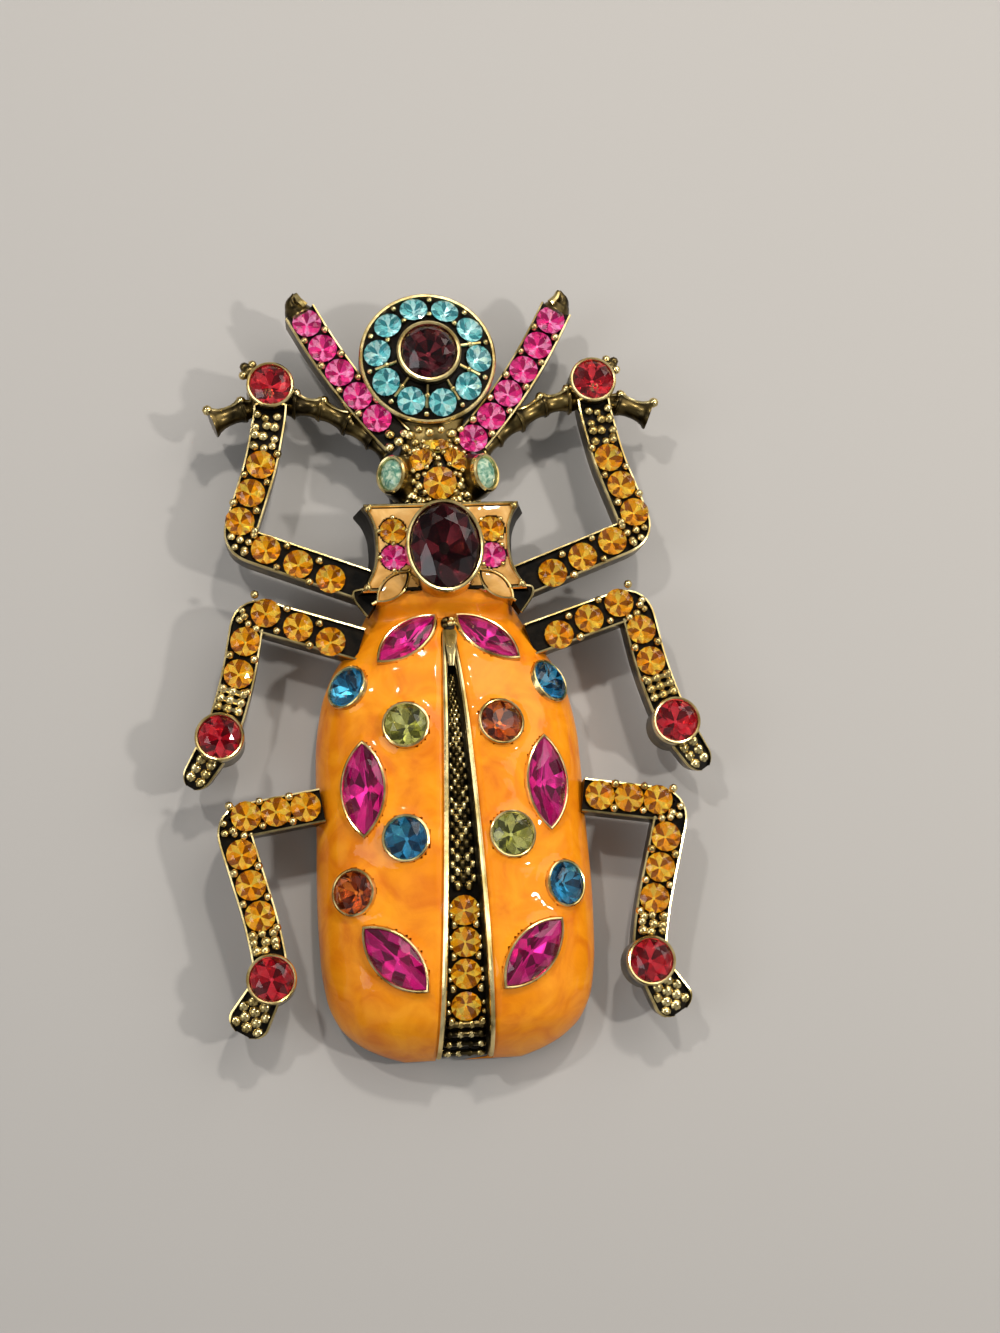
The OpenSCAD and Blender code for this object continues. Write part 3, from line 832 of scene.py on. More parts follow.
    def sweep(self, path: Sequence[Vector], section: Sequence[Place], tones: Sequence[Tone],
              widths: Callable[[float], float]) -> None:
        """Closed section carried along a path, capped at its ends.

        Args:
            path: Points of the path.
            section: Closed loop of places right of the path and above it.
            tones: The finish of each side of the loop.
            widths: Share of the full width at a share of the path.
        """
        rows = []
        for k, m in enumerate(frames(path)):
            w = widths(k / (len(path) - 1))
            rows.append([m @ Vector((a * w, b, 0)) for a, b in section])
        self.loft(rows, lambda i, j: tones[i % len(tones)], closed_across=True, capped=True)

    def ring(self, setting: Setting, profile: Sequence[Place], sides: int = 24,
             tone: Tone | Callable[[int, int], Tone] = Tone.GOLD) -> None:
        """Band round a stone.

        Args:
            setting: The stone's seat and outline.
            profile: Closed loop of places, as growth of the outline and height.
            sides: Pieces round the outline.
            tone: The finish.
        """
        seat, shape = setting
        rows = []
        for k in range(sides):
            around = [(shape.grown(extra).point(k / sides), z) for extra, z in profile]
            rows.append([seat.matrix @ Vector((x, y, z)) for (x, y), z in around])
        self.loft(rows, tone, closed_across=True, closed_along=True)

    def lid(self, setting: Setting, extra: float, low: float, thick: float = 0.3) -> None:
        """Thin plate that closes a cup from below.

        Args:
            setting: Seat and outline of the stone in the cup.
            extra: How far the outline is grown.
            low: Height of its underside.
            thick: Its thickness.
        """
        seat, shape = setting
        outline = [shape.grown(extra).point(k / self.LID_SIDES) for k in range(self.LID_SIDES)]
        rows = [[seat.matrix @ Vector((x * t, y * t, z)) for x, y in outline]
                for t, z in ((0.0, low), (1.0, low), (1.0, low + thick), (0.0, low + thick))]
        self.loft(rows, Tone.BRONZE, closed_across=True)

    def pad(self, shape: Shape, matrix: Matrix, rise: float, under: float, sides: int = 24,
            tone: Tone = Tone.BRONZE) -> None:
        """Cushion over an outline, closed underneath.

        Args:
            shape: The outline.
            matrix: Where it lies.
            rise: Height of its middle.
            under: Depth of its underside.
            sides: Pieces round the outline.
            tone: The finish.
        """
        rows = []
        for k in range(sides):
            x, y = shape.point(k / sides)
            row = [matrix @ Vector((x * 0.97, y * 0.97, -under))]
            for t in self.PAD_SHARES:
                row.append(matrix @ Vector((x * t, y * t, rise * (1 - t**self.PAD_ROUNDNESS))))
            row.append(matrix @ Vector((0, 0, -under)))
            rows.append(row)
        self.loft(rows, tone, closed_across=True, closed_along=True)

    def bead(self, centre: Vector, radius: float, tone: Tone = Tone.GOLD, flat: float = 1.0) -> None:
        """Small ball.

        Args:
            centre: Its middle.
            radius: Its radius.
            tone: The finish.
            flat: Its height as a share of its width.
        """
        spot = Matrix.Translation(centre) @ Matrix.Diagonal((1, 1, flat, 1))
        made = bmesh.ops.create_uvsphere(self.bm, u_segments=8, v_segments=5, radius=radius, matrix=spot)
        for face in {f for v in made["verts"] for f in v.link_faces}:
            face.material_index = tone.value
            face.smooth = True

    def beads_round(self, setting: Setting, count: int, extra: float, height: float, radius: float) -> None:
        """Ring of prong beads round a stone.

        Args:
            setting: The stone's seat and outline.
            count: Number of beads.
            extra: How far outside the outline they stand.
            height: Their height over the seat.
            radius: Their radius.
        """
        seat, shape = setting
        for k in range(count):
            x, y = shape.grown(extra).point((k + 0.5) / count)
            self.bead(seat.matrix @ Vector((x, y, height)), radius)

    def cut(self, setting: Setting, facets: int, girdle: float) -> None:
        """Brilliant-cut stone: finish 0 over the girdle, under it the three painted reflection tones of the foil
        by turns.

        Args:
            setting: The stone's seat and outline.
            facets: Sides of the table.
            girdle: Girdle's height as a share of the width.
        """
        seat, shape = setting
        width = 2 * shape.b
        edge = girdle * width
        part = bmesh.new()
        for count, share, z, shift in self.CUT.rings(facets, width, edge):
            for k in range(count):
                x, y = shape.point((k + shift) / count)
                bmesh.ops.create_vert(part, co=seat.matrix @ Vector((x * share, y * share, z)))
        bmesh.ops.convex_hull(part, input=part.verts[:])
        bmesh.ops.dissolve_limit(part, angle_limit=math.radians(1.5), verts=part.verts[:], edges=part.edges[:])
        upright = seat.matrix.inverted()
        for face in part.faces:
            face.smooth = False
            middle = upright @ face.calc_center_median()
            # Facets under the girdle get painted reflection tones by turns
            if middle.z < edge * 0.5 - 1e-4:
                turn = math.atan2(middle.y / shape.b, middle.x / shape.a) / math.tau
                doubled = 1 if middle.z < -self.CUT.inner_below * width else 2
                face.material_index = self.CUT.tones[int(turn * facets * doubled + 40.25) % len(self.CUT.tones)]
                # The culet's facets get the bright foil, a painted glint at the culet
                if middle.z < -self.CUT.painted_glint_below * width:
                    face.material_index = 1
        self.take(part, 0.0005)

    def piece(self, name: str, finishes: Iterable[Material], replaces: Sequence[str] = (),
              sharp: float = 38.0) -> None:
        """Ends the mesh as an object of the brooch.

        Args:
            name: The object's name.
            finishes: Its materials.
            replaces: CAD nodes it stands for.
            sharp: Angle above which edges stay sharp, or 0 for flat facets.
        """
        bmesh.ops.scale(self.bm, vec=(MM, MM, MM), verts=self.bm.verts[:])
        mesh = bpy.data.meshes.new(name)
        self.bm.to_mesh(mesh)
        self.bm.free()
        for finish in finishes:
            mesh.materials.append(finish)
        if sharp:
            mesh.set_sharp_from_angle(angle=math.radians(sharp))
        made = show(name, mesh)
        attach(made, "root")
        if replaces:
            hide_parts(*replaces)
        log.info("%s: %d faces", name, len(mesh.polygons))


@dataclass
class Stones:
    """Cutter of all the stones, each in the place of its CAD node."""

    nodes: dict
    finishes: Finishes

    def set_one(self, node: str, gem: str, plan: Plan = Plan.ROUND, ratio: float = 1.0, facets: int = 8,
                girdle: float = 0.05, extra: float = 0.0) -> list[Setting]:
        """Cuts the stones of a CAD node.

        Args:
            node: The CAD node.
            gem: The finish.
            plan: The stones' plan.
            ratio: Width as a share of the length.
            facets: Sides of the table.
            girdle: Girdle's height as a share of the width.
            extra: How far the outline is grown, where a row shows no gaps.

        Returns:
            The seat and outline of each stone.
        """
        bench = Bench()
        made = []
        for seat in Seat.all_of(self.nodes[node]):
            setting = (seat, Shape(plan, seat.half_length, seat.half_length * ratio).grown(extra))
            bench.cut(setting, facets, girdle)
            made.append(setting)
        bench.piece("gem_" + node, self.finishes.gems[gem], [node], sharp=0)
        return made

    def small(self, node: str, gem: str, extra: float) -> list[Setting]:
        """Cuts the small round stones of a CAD node, which have no girdle, grown by extra."""
        return self.set_one(node, gem, girdle=0.0, extra=extra)


@dataclass
class WingCases:
    """The two enamelled wing cases over their metal, and the abdomen between them."""

    neck_y: float = 7.6
    length: float = 52.4
    half_width: float = 15.6
    rim: float = 2.0
    rise: float = 9.8
    least_rise: float = 0.4
    roundness: float = 2.3
    wall: float = 2.8
    slot_width: float = 2.6
    slot_depth: float = 2.2
    slot_from: float = 0.06
    open_from: float = 0.165
    bow: float = 0.4
    edge: float = 0.6
    edge_from: Place = (0.05, 0.11)
    enamel: float = 0.5
    enamel_low: float = 1.15
    enamel_rows: int = 150
    enamel_columns: int = 56
    drops: int = 3
    metal_gap: float = 0.42
    metal_rows: int = 128
    metal_columns: int = 28
    back_rows: int = 48
    back_columns: int = 12
    bank: float = 9.35
    bank_fall: float = 0.018
    bank_y: Place = (4.3, 6.3)
    bank_x: Place = (6.5, 8.6)
    collar: float = 0.5
    collar_gap: float = 0.38
    lift: float = 0.22
    lift_width: float = 0.9
    navette: float = 0.48
    pointed: tuple = (1, 4, 7)
    stations: tuple = (
        (0.00, 0.52, 0.42), (0.05, 0.60, 0.57), (0.10, 0.70, 0.72), (0.16, 0.83, 0.87), (0.23, 0.92, 0.95),
        (0.33, 0.97, 1.00), (0.50, 0.985, 1.00), (0.66, 1.00, 0.99), (0.78, 0.99, 0.95), (0.86, 0.955, 0.87),
        (0.92, 0.87, 0.74), (0.96, 0.73, 0.56), (0.985, 0.57, 0.36), (1.00, 0.42, 0.14),
    )
    colours: dict = field(default_factory=lambda: {
        Side.LEFT: ("fuchsia", "blue", "peridot", "fuchsia", "blue", "topaz", "fuchsia"),
        Side.RIGHT: ("fuchsia", "blue", "topaz", "fuchsia", "peridot", "blue", "fuchsia"),
    })
    floor_shares: tuple = (0.75, 0.58, 0.41, 0.24, 0.08)
    wire_ends: Place = (0.055, 0.993)
    wire_steps: int = 80
    wire_gap: float = 0.33
    wire_radii: Place = (0.12, 0.2)
    foot_steps: int = 96
    foot_inset: float = 0.25
    wedge_ends: Place = (0.090, 0.178)
    wedge_steps: int = 12
    wedge: tuple = ((-1, -0.6), (-0.85, 0.0), (-0.4, 0.08), (0, 0.0), (0.4, 0.08), (0.85, 0.0), (1, -0.6))
    summit: tuple = (0.4, 3.75, 8.5)
    summit_tilt: float = -25.0
    summit_beads: tuple = (
        (-0.5, 0.35, 0.34), (0.25, 0.5, 0.36), (0.05, -0.15, 0.38), (0.62, -0.1, 0.3), (-0.55, -0.45, 0.32),
    )
    pebbles_in: Place = (0.19, 0.66)
    pebble_spacing: float = 1.45
    ribs: tuple = (0.93, 0.949, 0.968, 0.986)
    rib_reach: float = 0.9
    rib_arch: float = 0.3
    rib_radius: float = 0.36
    rib_beads: tuple = (-0.72, -0.24, 0.24, 0.72)
    row_steps: tuple = ((-1.55, 0.5, 0.6), (-0.55, 0.36, 0.35), (0.45, 0.38, 0.35))
    collar_profile: tuple = (
        (0.0, -1.6), (0.02, 0.14), (0.10, 0.29), (0.22, 0.33), (0.34, 0.26), (0.41, 0.05), (0.46, -1.6),
    )

    def y(self, share: float) -> float:
        """Place along the length."""
        return self.neck_y - share * self.length

    def share(self, y: float) -> float:
        """Share of the length at a place."""
        return (self.neck_y - y) / self.length

    def half(self, share: float) -> float:
        """Half width at a share of the length."""
        return self.half_width * curve(self.stations, 1, share)

    def crown(self, share: float) -> float:
        """Rise above the rim at a share of the length."""
        return self.rise * curve(self.stations, 2, share)

    def slot_x(self, share: float) -> float:
        """Middle line of the opening."""
        return self.bow * math.sin(math.pi * min(max(share, 0), 1))

    def slot_half(self, share: float) -> float:
        """Half width of the opening."""
        return self.slot_width * max(0.0, (share - self.slot_from) / (1 - self.slot_from)) ** 0.8

    def size_at(self, share: float, offset: float) -> tuple[float, float]:
        """Half width and rise of the dome, drawn in by an offset."""
        return self.half(share) - offset, max(self.crown(share) - offset, self.least_rise)

    def top(self, x: float, share: float, offset: float = 0.0) -> float:
        """Finds the height of the dome.

        Args:
            x: Place across.
            share: Share of the length.
            offset: How far the dome is drawn in.

        Returns:
            The height.
        """
        half, rise = self.size_at(share, offset)
        across = max(0.0, 1 - min(1.0, abs(x) / half) ** self.roundness) ** (1 / self.roundness)
        return self.rim + rise * across

    def spot(self, x: float, share: float) -> Vector:
        """Point of the dome over a place."""
        return Vector((x, self.y(share), self.top(x, share)))

    def arc(self, share: float, angle: float, side: int, offset: float) -> Vector:
        """Finds a point of a cross section.

        Args:
            share: Share of the length.
            angle: 0 at the rim, a right angle over the middle line.
            side: -1 for left, 1 for right.
            offset: How far the dome is drawn in.

        Returns:
            The point.
        """
        half, rise = self.size_at(share, offset)
        c, s = math.cos(angle), math.sin(angle)
        power = 2 / self.roundness
        x = math.copysign(abs(c) ** power, c) * half
        y = self.neck_y - offset - share * (self.length - 2 * offset)
        return Vector((side * x, y, self.rim + rise * abs(s) ** power))

    def inner_angle(self, share: float, side: int, x: float, offset: float) -> float:
        """Angle at which a cross section passes over a place."""
        ratio = side * x / (self.half(share) - offset)
        return math.acos(math.copysign(min(1.0, abs(ratio)) ** (self.roundness / 2), ratio))

    def enamel_edge(self, share: float, side: int) -> float:
        """Where the enamel ends beside the opening."""
        return self.slot_x(share) + side * (self.slot_half(share) + self.edge * ramp(share, *self.edge_from))

    def set_stones(self, stones: Stones) -> list[Setting]:
        """Cuts the wing stones.

        Args:
            stones: Their cutter.

        Returns:
            The seat and outline of each stone.
        """
        made = []
        for side in Side:
            for k, gem in enumerate(self.colours[side], 1):
                plan, ratio = (Plan.NAVETTE, self.navette) if k in self.pointed else (Plan.ROUND, 1.0)
                made += stones.set_one(f"wing_stone_{side.word}_{k}", gem, plan, ratio)
        return made

    def enamel_row(self, share: float, side: int) -> list[Vector]:
        """One cross section of the enamel.

        Args:
            share: Share of the length.
            side: -1 for left, 1 for right.

        Returns:
            Points from the opening to the enamel's foot.
        """
        start = self.inner_angle(share, side, self.enamel_edge(share, side), 0.0)
        row = []
        for i in range(self.enamel_columns + 1):
            point = self.arc(share, start * (1 - i / self.enamel_columns), side, 0.0)
            if i == 0:
                point.z -= 0.25 * ramp(share, *self.edge_from)
            bank = ramp(point.y, *self.bank_y) * (1 - ramp(abs(point.x), *self.bank_x))
            point.z += max(0.0, self.bank - self.bank_fall * point.x**2 - point.z) * bank
            row.append(point)
        foot = row[-1]
        return [*row, Vector((foot.x, foot.y, self.rim - 0.5)), Vector((foot.x, foot.y, self.enamel_low))]

    def pour(self, set_stones: Sequence[Setting], finish: Material) -> None:
        """Lays the enamel, cut out at the collars and drawn up a little against them.

        Args:
            set_stones: The stones whose collars it meets.
            finish: Its material.
        """
        bench = Bench()
        cuts = [(seat.matrix.inverted(), shape.grown(self.collar)) for seat, shape in set_stones]
        for side in (-1, 1):
            rows = []
            for j in range(self.enamel_rows + self.drops):
                row = self.enamel_row(min(1.0, j / (self.enamel_rows - 1)), side)
                if j >= self.enamel_rows:
                    fall = (j - self.enamel_rows + 1) / self.drops
                    for point in row:
                        point.z += (self.enamel_low - point.z) * fall
                rows.append(row)
            part = bench.skin(rows)
            self.trim(part, cuts)
            merge(part, 0.003)
            bmesh.ops.dissolve_degenerate(part, dist=0.01, edges=part.edges[:])
            thicken(part, self.enamel)
            for vert in part.verts:
                vert.co.y = max(vert.co.y, self.y(1.0))
            bench.take(part, 0.0005)
        bench.piece("wing_enamel_skin", [finish], ["wing_enamel"], sharp=50)

    def trim(self, part: Part, cuts: Sequence[tuple[Matrix, Shape]]) -> None:
        """Deletes the enamel under the collars and lifts it round them.

        Args:
            part: The enamel.
            cuts: For each collar the inverse of its seat, and its outline.
        """
        for inverse, shape in cuts:
            gone = []
            for vert in part.verts:
                local = inverse @ vert.co
                if abs(local.z) > 4 or local.to_2d().length > shape.a + 1.5:
                    continue
                away = shape.distance(local.x, local.y)
                if away < -self.collar_gap:
                    gone.append(vert)
                elif away < self.lift_width:
                    local.z += self.lift * (1 - max(away, 0) / self.lift_width) ** 2
                    vert.co = inverse.inverted() @ local
            bmesh.ops.delete(part, geom=gone, context="VERTS")

    @staticmethod
    def half_rows(wing: list[Vector], inner: list[Vector], side: int) -> list[Vector]:
        """One side's share of a cross section of the metal.

        Args:
            wing: Points from the rim inwards.
            inner: Points that follow on them.
            side: -1 for left, 1 for right.

        Returns:
            The points with two below the rim, from left to right.
        """
        foot = wing[0]
        row = [Vector((foot.x, foot.y, 0.0)), Vector((foot.x, foot.y, 1.0)), *wing, *inner]
        return row if side < 0 else row[::-1]

    def outer_row(self, share: float) -> list[Vector]:
        """One cross section of the metal under the enamel.

        Args:
            share: Share of the length.

        Returns:
            Points from the left rim to the right rim.
        """
        offset, steps = self.metal_gap, self.metal_columns
        deep = self.slot_depth * ramp(share, self.open_from - 0.02, self.open_from + 0.02)
        x0, w = self.slot_x(share), self.slot_half(share) * ramp(share, 0.10, 0.18) + 0.02
        row = []
        for side in (-1, 1):
            edge = x0 + side * w
            start = self.inner_angle(share, side, edge, offset)
            wing = [self.arc(share, start * k / steps, side, offset) for k in range(steps + 1)]
            y, z = wing[-1].y, wing[-1].z
            inner = [Vector((edge - side * 0.1 * deep, y, z - deep * t)) for t in (0.5, 1.0)]
            inner += [Vector((x0 + side * w * f, y, z - deep + 0.12 * (1 - f))) for f in self.floor_shares]
            row += self.half_rows(wing, inner, side)
        return row

    def inner_row(self, share: float) -> list[Vector]:
        """One cross section of the hollow back.

        Args:
            share: Share of the length.

        Returns:
            Points from the left rim to the right rim.
        """
        steps = self.back_columns
        rib = self.slot_depth + 0.4 if share > self.open_from else 0.6
        row = []
        for side in (-1, 1):
            wing = [self.arc(share, math.pi / 2 * k / steps, side, self.wall) for k in range(steps + 1)]
            for point in wing:
                near = ramp(self.slot_half(share) + 3.2 - abs(point.x), 0.0, 1.6)
                point.z = max(1.0, point.z - max(0.0, rib - 1.0) * near)
            row += self.half_rows(wing, [], side)
        return row

    @staticmethod
    def bowl(row_of: Callable[[float], list[Vector]], steps: int) -> list[list[Vector]]:
        """Rows of a bowl, its ends brought down to the back plane.

        Args:
            row_of: Gives the row at a share of the length.
            steps: Stretches along the length.

        Returns:
            The rows.
        """
        rows = [row_of(k / steps) for k in range(steps + 1)]
        ends = [[Vector((p.x, p.y, 0.0)) for p in row] for row in (rows[0], rows[-1])]
        return [ends[0], *rows, ends[1]]

    def cast(self, finishes: Finishes, set_stones: Sequence[Setting]) -> None:
        """Builds the metal: the outer and the inner bowl, joined at the back.

        Args:
            finishes: The materials.
            set_stones: The stones that get pits.
        """
        bench = Bench()
        outer = self.bowl(self.outer_row, self.metal_rows)
        dark = range(self.metal_columns + 2, len(outer[0]) - self.metal_columns - 3)
        part = bench.skin(outer, lambda i, j: Tone.RECESS if i in dark else Tone.BRONZE)
        bench.join(part, bench.skin(self.bowl(self.inner_row, self.back_rows)))
        merge(part, 0.004)
        bmesh.ops.triangle_fill(part, use_beauty=True, use_dissolve=False, edges=rims(part), normal=-UP)
        bmesh.ops.recalc_face_normals(part, faces=part.faces[:])
        bench.drill(part, set_stones)
        bench.take(part)
        self.wires(bench)
        self.top_wedge(bench)
        self.abdomen(bench)
        bench.piece("wing_metal", finishes.metals, ["casting"])

    def wires(self, bench: Bench) -> None:
        """Gold wires beside the opening and round the enamel's foot.

        Args:
            bench: The mesh they are added to.
        """
        first, last = self.wire_ends
        thin, added = self.wire_radii
        for side in (-1, 1):
            path = []
            for k in range(self.wire_steps + 1):
                share = first + (last - first) * k / self.wire_steps
                x = self.slot_x(share) + side * (self.slot_half(share) + self.wire_gap * ramp(share, 0.05, 0.1))
                path.append(self.spot(x, share) + Vector((0, 0, -0.08)))
            end = path[-1]
            path += [Vector((end.x, end.y + 0.05, end.z - 0.5)), Vector((end.x, end.y + 0.1, 1.2))]
            bench.tube(path, [thin + added * ramp(k / 20, 0, 1) for k in range(len(path))])
            feet = [self.arc(k / self.foot_steps, 0.0, side, self.foot_inset)
                    for k in range(self.foot_steps + 1)]
            bench.tube([Vector((p.x, p.y, self.enamel_low - 0.12)) for p in feet], 0.2, 6)

    def top_wedge(self, bench: Bench) -> None:
        """The wedge at the top of the opening, and the dark spot with beads above it.

        Args:
            bench: The mesh they are added to.
        """
        first, last = self.wedge_ends
        rows = []
        for k in range(self.wedge_steps + 1):
            t = k / self.wedge_steps
            share = first + (last - first) * t
            w, x0 = 1.05 - 0.72 * t**0.8, 0.42 - 0.25 * t
            rows.append([self.spot(x0 + w * f, share) + Vector((0, 0, z + 0.06)) for f, z in self.wedge])
        bench.loft(rows, Tone.GOLD)
        tilt = Matrix.Translation(self.summit) @ Matrix.Rotation(math.radians(self.summit_tilt), 4, "X")
        bench.pad(Shape(Plan.OVAL, 1.0, 0.95), tilt, 0.1, 0.6, 16, Tone.RECESS)
        for x, y, size in self.summit_beads:
            bench.bead(tilt @ Vector((x, y, 0.1)), size, Tone.GOLD if x > 0 else Tone.BRONZE, 0.8)

    def floor_at(self, x: float, share: float) -> Vector:
        """Point of the opening's floor."""
        return Vector((x, self.y(share), self.top(x, share, self.metal_gap) - self.slot_depth + 0.1))

    def lumps(self, bench: Bench, share: float, spots: Sequence[Place]) -> None:
        """Flattened beads across the opening.

        Args:
            bench: The mesh they are added to.
            share: Share of the length.
            spots: Places as shares of the opening's half width, and radii.
        """
        w, x0 = self.slot_half(share), self.slot_x(share)
        for k, (f, radius) in enumerate(spots):
            tone = Tone.BRONZE if (k + int(share * 500)) % 3 == 0 else Tone.GOLD
            bench.bead(self.floor_at(x0 + w * f, share) + UP * 0.22, radius, tone, 0.75)

    def abdomen(self, bench: Bench) -> None:
        """Pebbles and ribs on the floor of the opening.

        Args:
            bench: The mesh they are added to.
        """
        (share, last), odd = self.pebbles_in, False
        while share < last:
            size = 0.2 * self.slot_half(share) + 0.2
            pair = [(-0.36, size), (0.36, size)]
            self.lumps(bench, share, pair if odd else [(0.0, size), (-0.72, size * 0.8), (0.72, size * 0.8)])
            share += size * self.pebble_spacing / self.length
            odd = not odd
        for share in self.ribs:
            w, x0 = self.slot_half(share), self.slot_x(share)
            path = [self.floor_at(x0 + w * way, share) for way in (-self.rib_reach, 0.0, self.rib_reach)]
            path[1] += UP * self.rib_arch
            bench.tube(path, self.rib_radius, tone=Tone.BRONZE)
            self.lumps(bench, share, [(f, 0.5) for f in self.rib_beads])

    def collars(self, finishes: Finishes, set_stones: Sequence[Setting], row: Sequence[Setting]) -> None:
        """Raised collars round the wing stones, and prong beads beside the amber row.

        Args:
            finishes: The materials.
            set_stones: The wing stones.
            row: The stones of the row.
        """
        bench = Bench()
        for setting in set_stones:
            bench.ring(setting, self.collar_profile, 32 if setting[1].plan is Plan.NAVETTE else 24)
        for seat, _ in sorted(row, key=lambda s: -s[0].centre.y):
            p = seat.matrix @ Vector((0, 0, 0.1))
            for side in (-1, 1):
                for step, size, inside in self.row_steps:
                    x = p.x + side * (self.slot_half(self.share(p.y)) - inside)
                    bench.bead(Vector((x, p.y + step, p.z)), size, Tone.GOLD, 0.9)
        bench.piece("wing_collars", finishes.metals)


@dataclass
class Thorax:
    """The plate behind the head with its enamel, its oval stone and its four small stones."""

    back: float = 7.4
    front: float = 17.4
    height: float = 9.8
    plate_z: float = 9.68
    draw_in: float = 0.985
    inner: float = 1.6
    well: float = 2.3
    foot: float = 4.6
    floor_z: float = 7.6
    pad_gap: float = 0.35
    pad_thickness: float = 0.35
    pad_rise: float = 0.16
    pad_rows: int = 60
    pad_columns: int = 44
    outline: tuple = (
        (7.4, 9.41), (8.58, 8.57), (10.34, 7.81), (12.3, 7.56), (14.26, 7.64), (16.22, 8.2), (17.4, 9.0),
    )
    levels: tuple = ((4.6, 1.09), (5.6, 1.10), (8.6, 1.02), (9.3, 1.0), (9.68, 0.985), (7.6, 0.95))
    pit: tuple = ((6.7, 8.3, 8.3), (10.4, 8.0, 7.7), (10.2, 6.9, 7.6), (8.8, 5.0, 7.6), (7.7, 6.6, 8.0))
    brow: tuple = ((8.2, 6.35, 7.95), (6.6, 7.0, 8.75), (4.6, 7.3, 9.2), (3.9, 7.6, 9.35))
    collar_profile: tuple = (
        (0.0, -2.6), (0.02, 0.22), (0.12, 0.44), (0.30, 0.48), (0.46, 0.34), (0.52, -0.2), (0.47, -2.7),
    )
    leaf_profile: tuple = ((0.0, -1.0), (0.0, 0.1), (0.12, 0.26), (0.28, 0.2), (0.34, -3.2))

    def half(self, y: float) -> float:
        """Half width of the plate."""
        return curve(self.outline, 1, y)

    @staticmethod
    def leaves() -> list[Setting]:
        """Places the two leaf cells behind the plate.

        Returns:
            The seat and outline of each, left first.
        """
        leaf = Shape(Plan.NAVETTE, 2.3, 1.0)
        made = []
        for side in Side:
            turn = Matrix.Rotation(math.radians(-42 * side.value), 4, "Z")
            made.append((Seat(Matrix.Translation((side.value * 5.8, 7.9, 9.62)) @ turn, leaf.a), leaf))
        return made

    def shoulder(self, bench: Bench, side: int) -> None:
        """Dark pit with gold edges beside the plate, and the wire over the wing's enamel.

        Args:
            bench: The mesh they are added to.
            side: -1 for left, 1 for right.
        """
        rim = [Vector((side * x, y, z)) for x, y, z in self.pit]
        middle = sum(rim, Vector()) / len(rim) - UP * 0.25
        foot = [Vector((p.x * 0.98, p.y, 6.2)) for p in rim]
        bench.loft([[middle] * len(rim), rim, foot], Tone.RECESS, closed_across=True)
        bench.tube(rounded(rim[:4], 0.5, 3), 0.17, 6)
        bench.tube(rounded([Vector((side * x, y, z)) for x, y, z in self.brow], 1.2, 4), 0.2, 6)

    def plate(self, bench: Bench, set_in: Sequence[Setting]) -> None:
        """The plate: its walls, and the dark face that the enamel lies on.

        Args:
            bench: The mesh it is added to.
            set_in: What gets a pit.
        """
        ys = [self.back + (self.front - self.back) * k / 24 for k in range(25)]
        loop = [(self.half(y), y) for y in ys] + [(-self.half(y), y) for y in reversed(ys)]
        rows = [[Vector((x * grow, y, z)) for x, y in loop] for z, grow in self.levels]
        rows.insert(0, [Vector((0, y, self.foot)) for _, y in loop])
        rows.append([Vector((0, y, self.floor_z)) for _, y in loop])
        bench.loft(rows, lambda i, j: Tone.RECESS if 0 < j < 3 else Tone.BRONZE, closed_across=True)
        ys = [self.back + (self.front - self.back) * k / 36 for k in range(37)]
        rows = [[Vector((self.half(y) * self.draw_in * (i / 30 - 1), y, self.plate_z)) for i in range(61)]
                for y in ys]
        part = bench.skin(rows, Tone.RECESS)
        wall = bmesh.ops.extrude_edge_only(part, edges=rims(part))["geom"]
        low = [g for g in wall if isinstance(g, bmesh.types.BMVert)]
        bmesh.ops.translate(part, vec=-UP * self.well, verts=low)
        bmesh.ops.holes_fill(part, edges=rims(part), sides=0)
        bench.drill(part, set_in)
        bench.take(part)
        wire = [Vector((x * self.draw_in, y, self.height + 0.05)) for x, y in loop]
        inwards = Vector((self.inner, 0, 0))
        bench.tube([wire[0] - inwards, *wire, wire[-1] + inwards], 0.2, 6)

    def cast(self, finishes: Finishes, oval: Setting, small: Sequence[Setting],
             leaves: Sequence[Setting]) -> None:
        """Builds the metal of the plate and its collars.

        Args:
            finishes: The materials.
            oval: Seat and outline of the oval stone.
            small: Those of the small round stones.
            leaves: Those of the leaf cells.
        """
        bench = Bench()
        self.plate(bench, [oval, *small, *leaves])
        bench.ring(oval, self.collar_profile, 40)
        for setting in small:
            bench.beads_round(setting, 4, 0.08, 0.12, 0.34)
        for setting in leaves:
            bench.ring(setting, self.leaf_profile)
        for side in (-1, 1):
            for y in (self.back + 0.35, self.front - 0.35):
                bench.bead(Vector((side * (self.half(y) - 0.4), y, self.height + 0.1)), 0.5)
            self.shoulder(bench, side)
        bench.piece("thorax_metal", finishes.metals)

    def pad_row(self, j: int, side: int) -> list[Vector]:
        """One row across a peach pad.

        Args:
            j: The row's number.
            side: -1 for left, 1 for right.

        Returns:
            The points, from the middle outwards.
        """
        last, across = self.pad_rows, self.pad_columns
        y = self.back + self.pad_gap + (self.front - self.back - 2 * self.pad_gap) * j / last
        outer = self.half(y) * self.draw_in - 0.22
        row = []
        for i in range(across + 1):
            rise = self.pad_rise * (1 - abs(2 * i / across - 1) ** 4) * (1 - abs(2 * j / last - 1) ** 6)
            row.append(Vector((side * (0.4 + (outer - 0.4) * i / across), y, self.height + rise)))
        return row

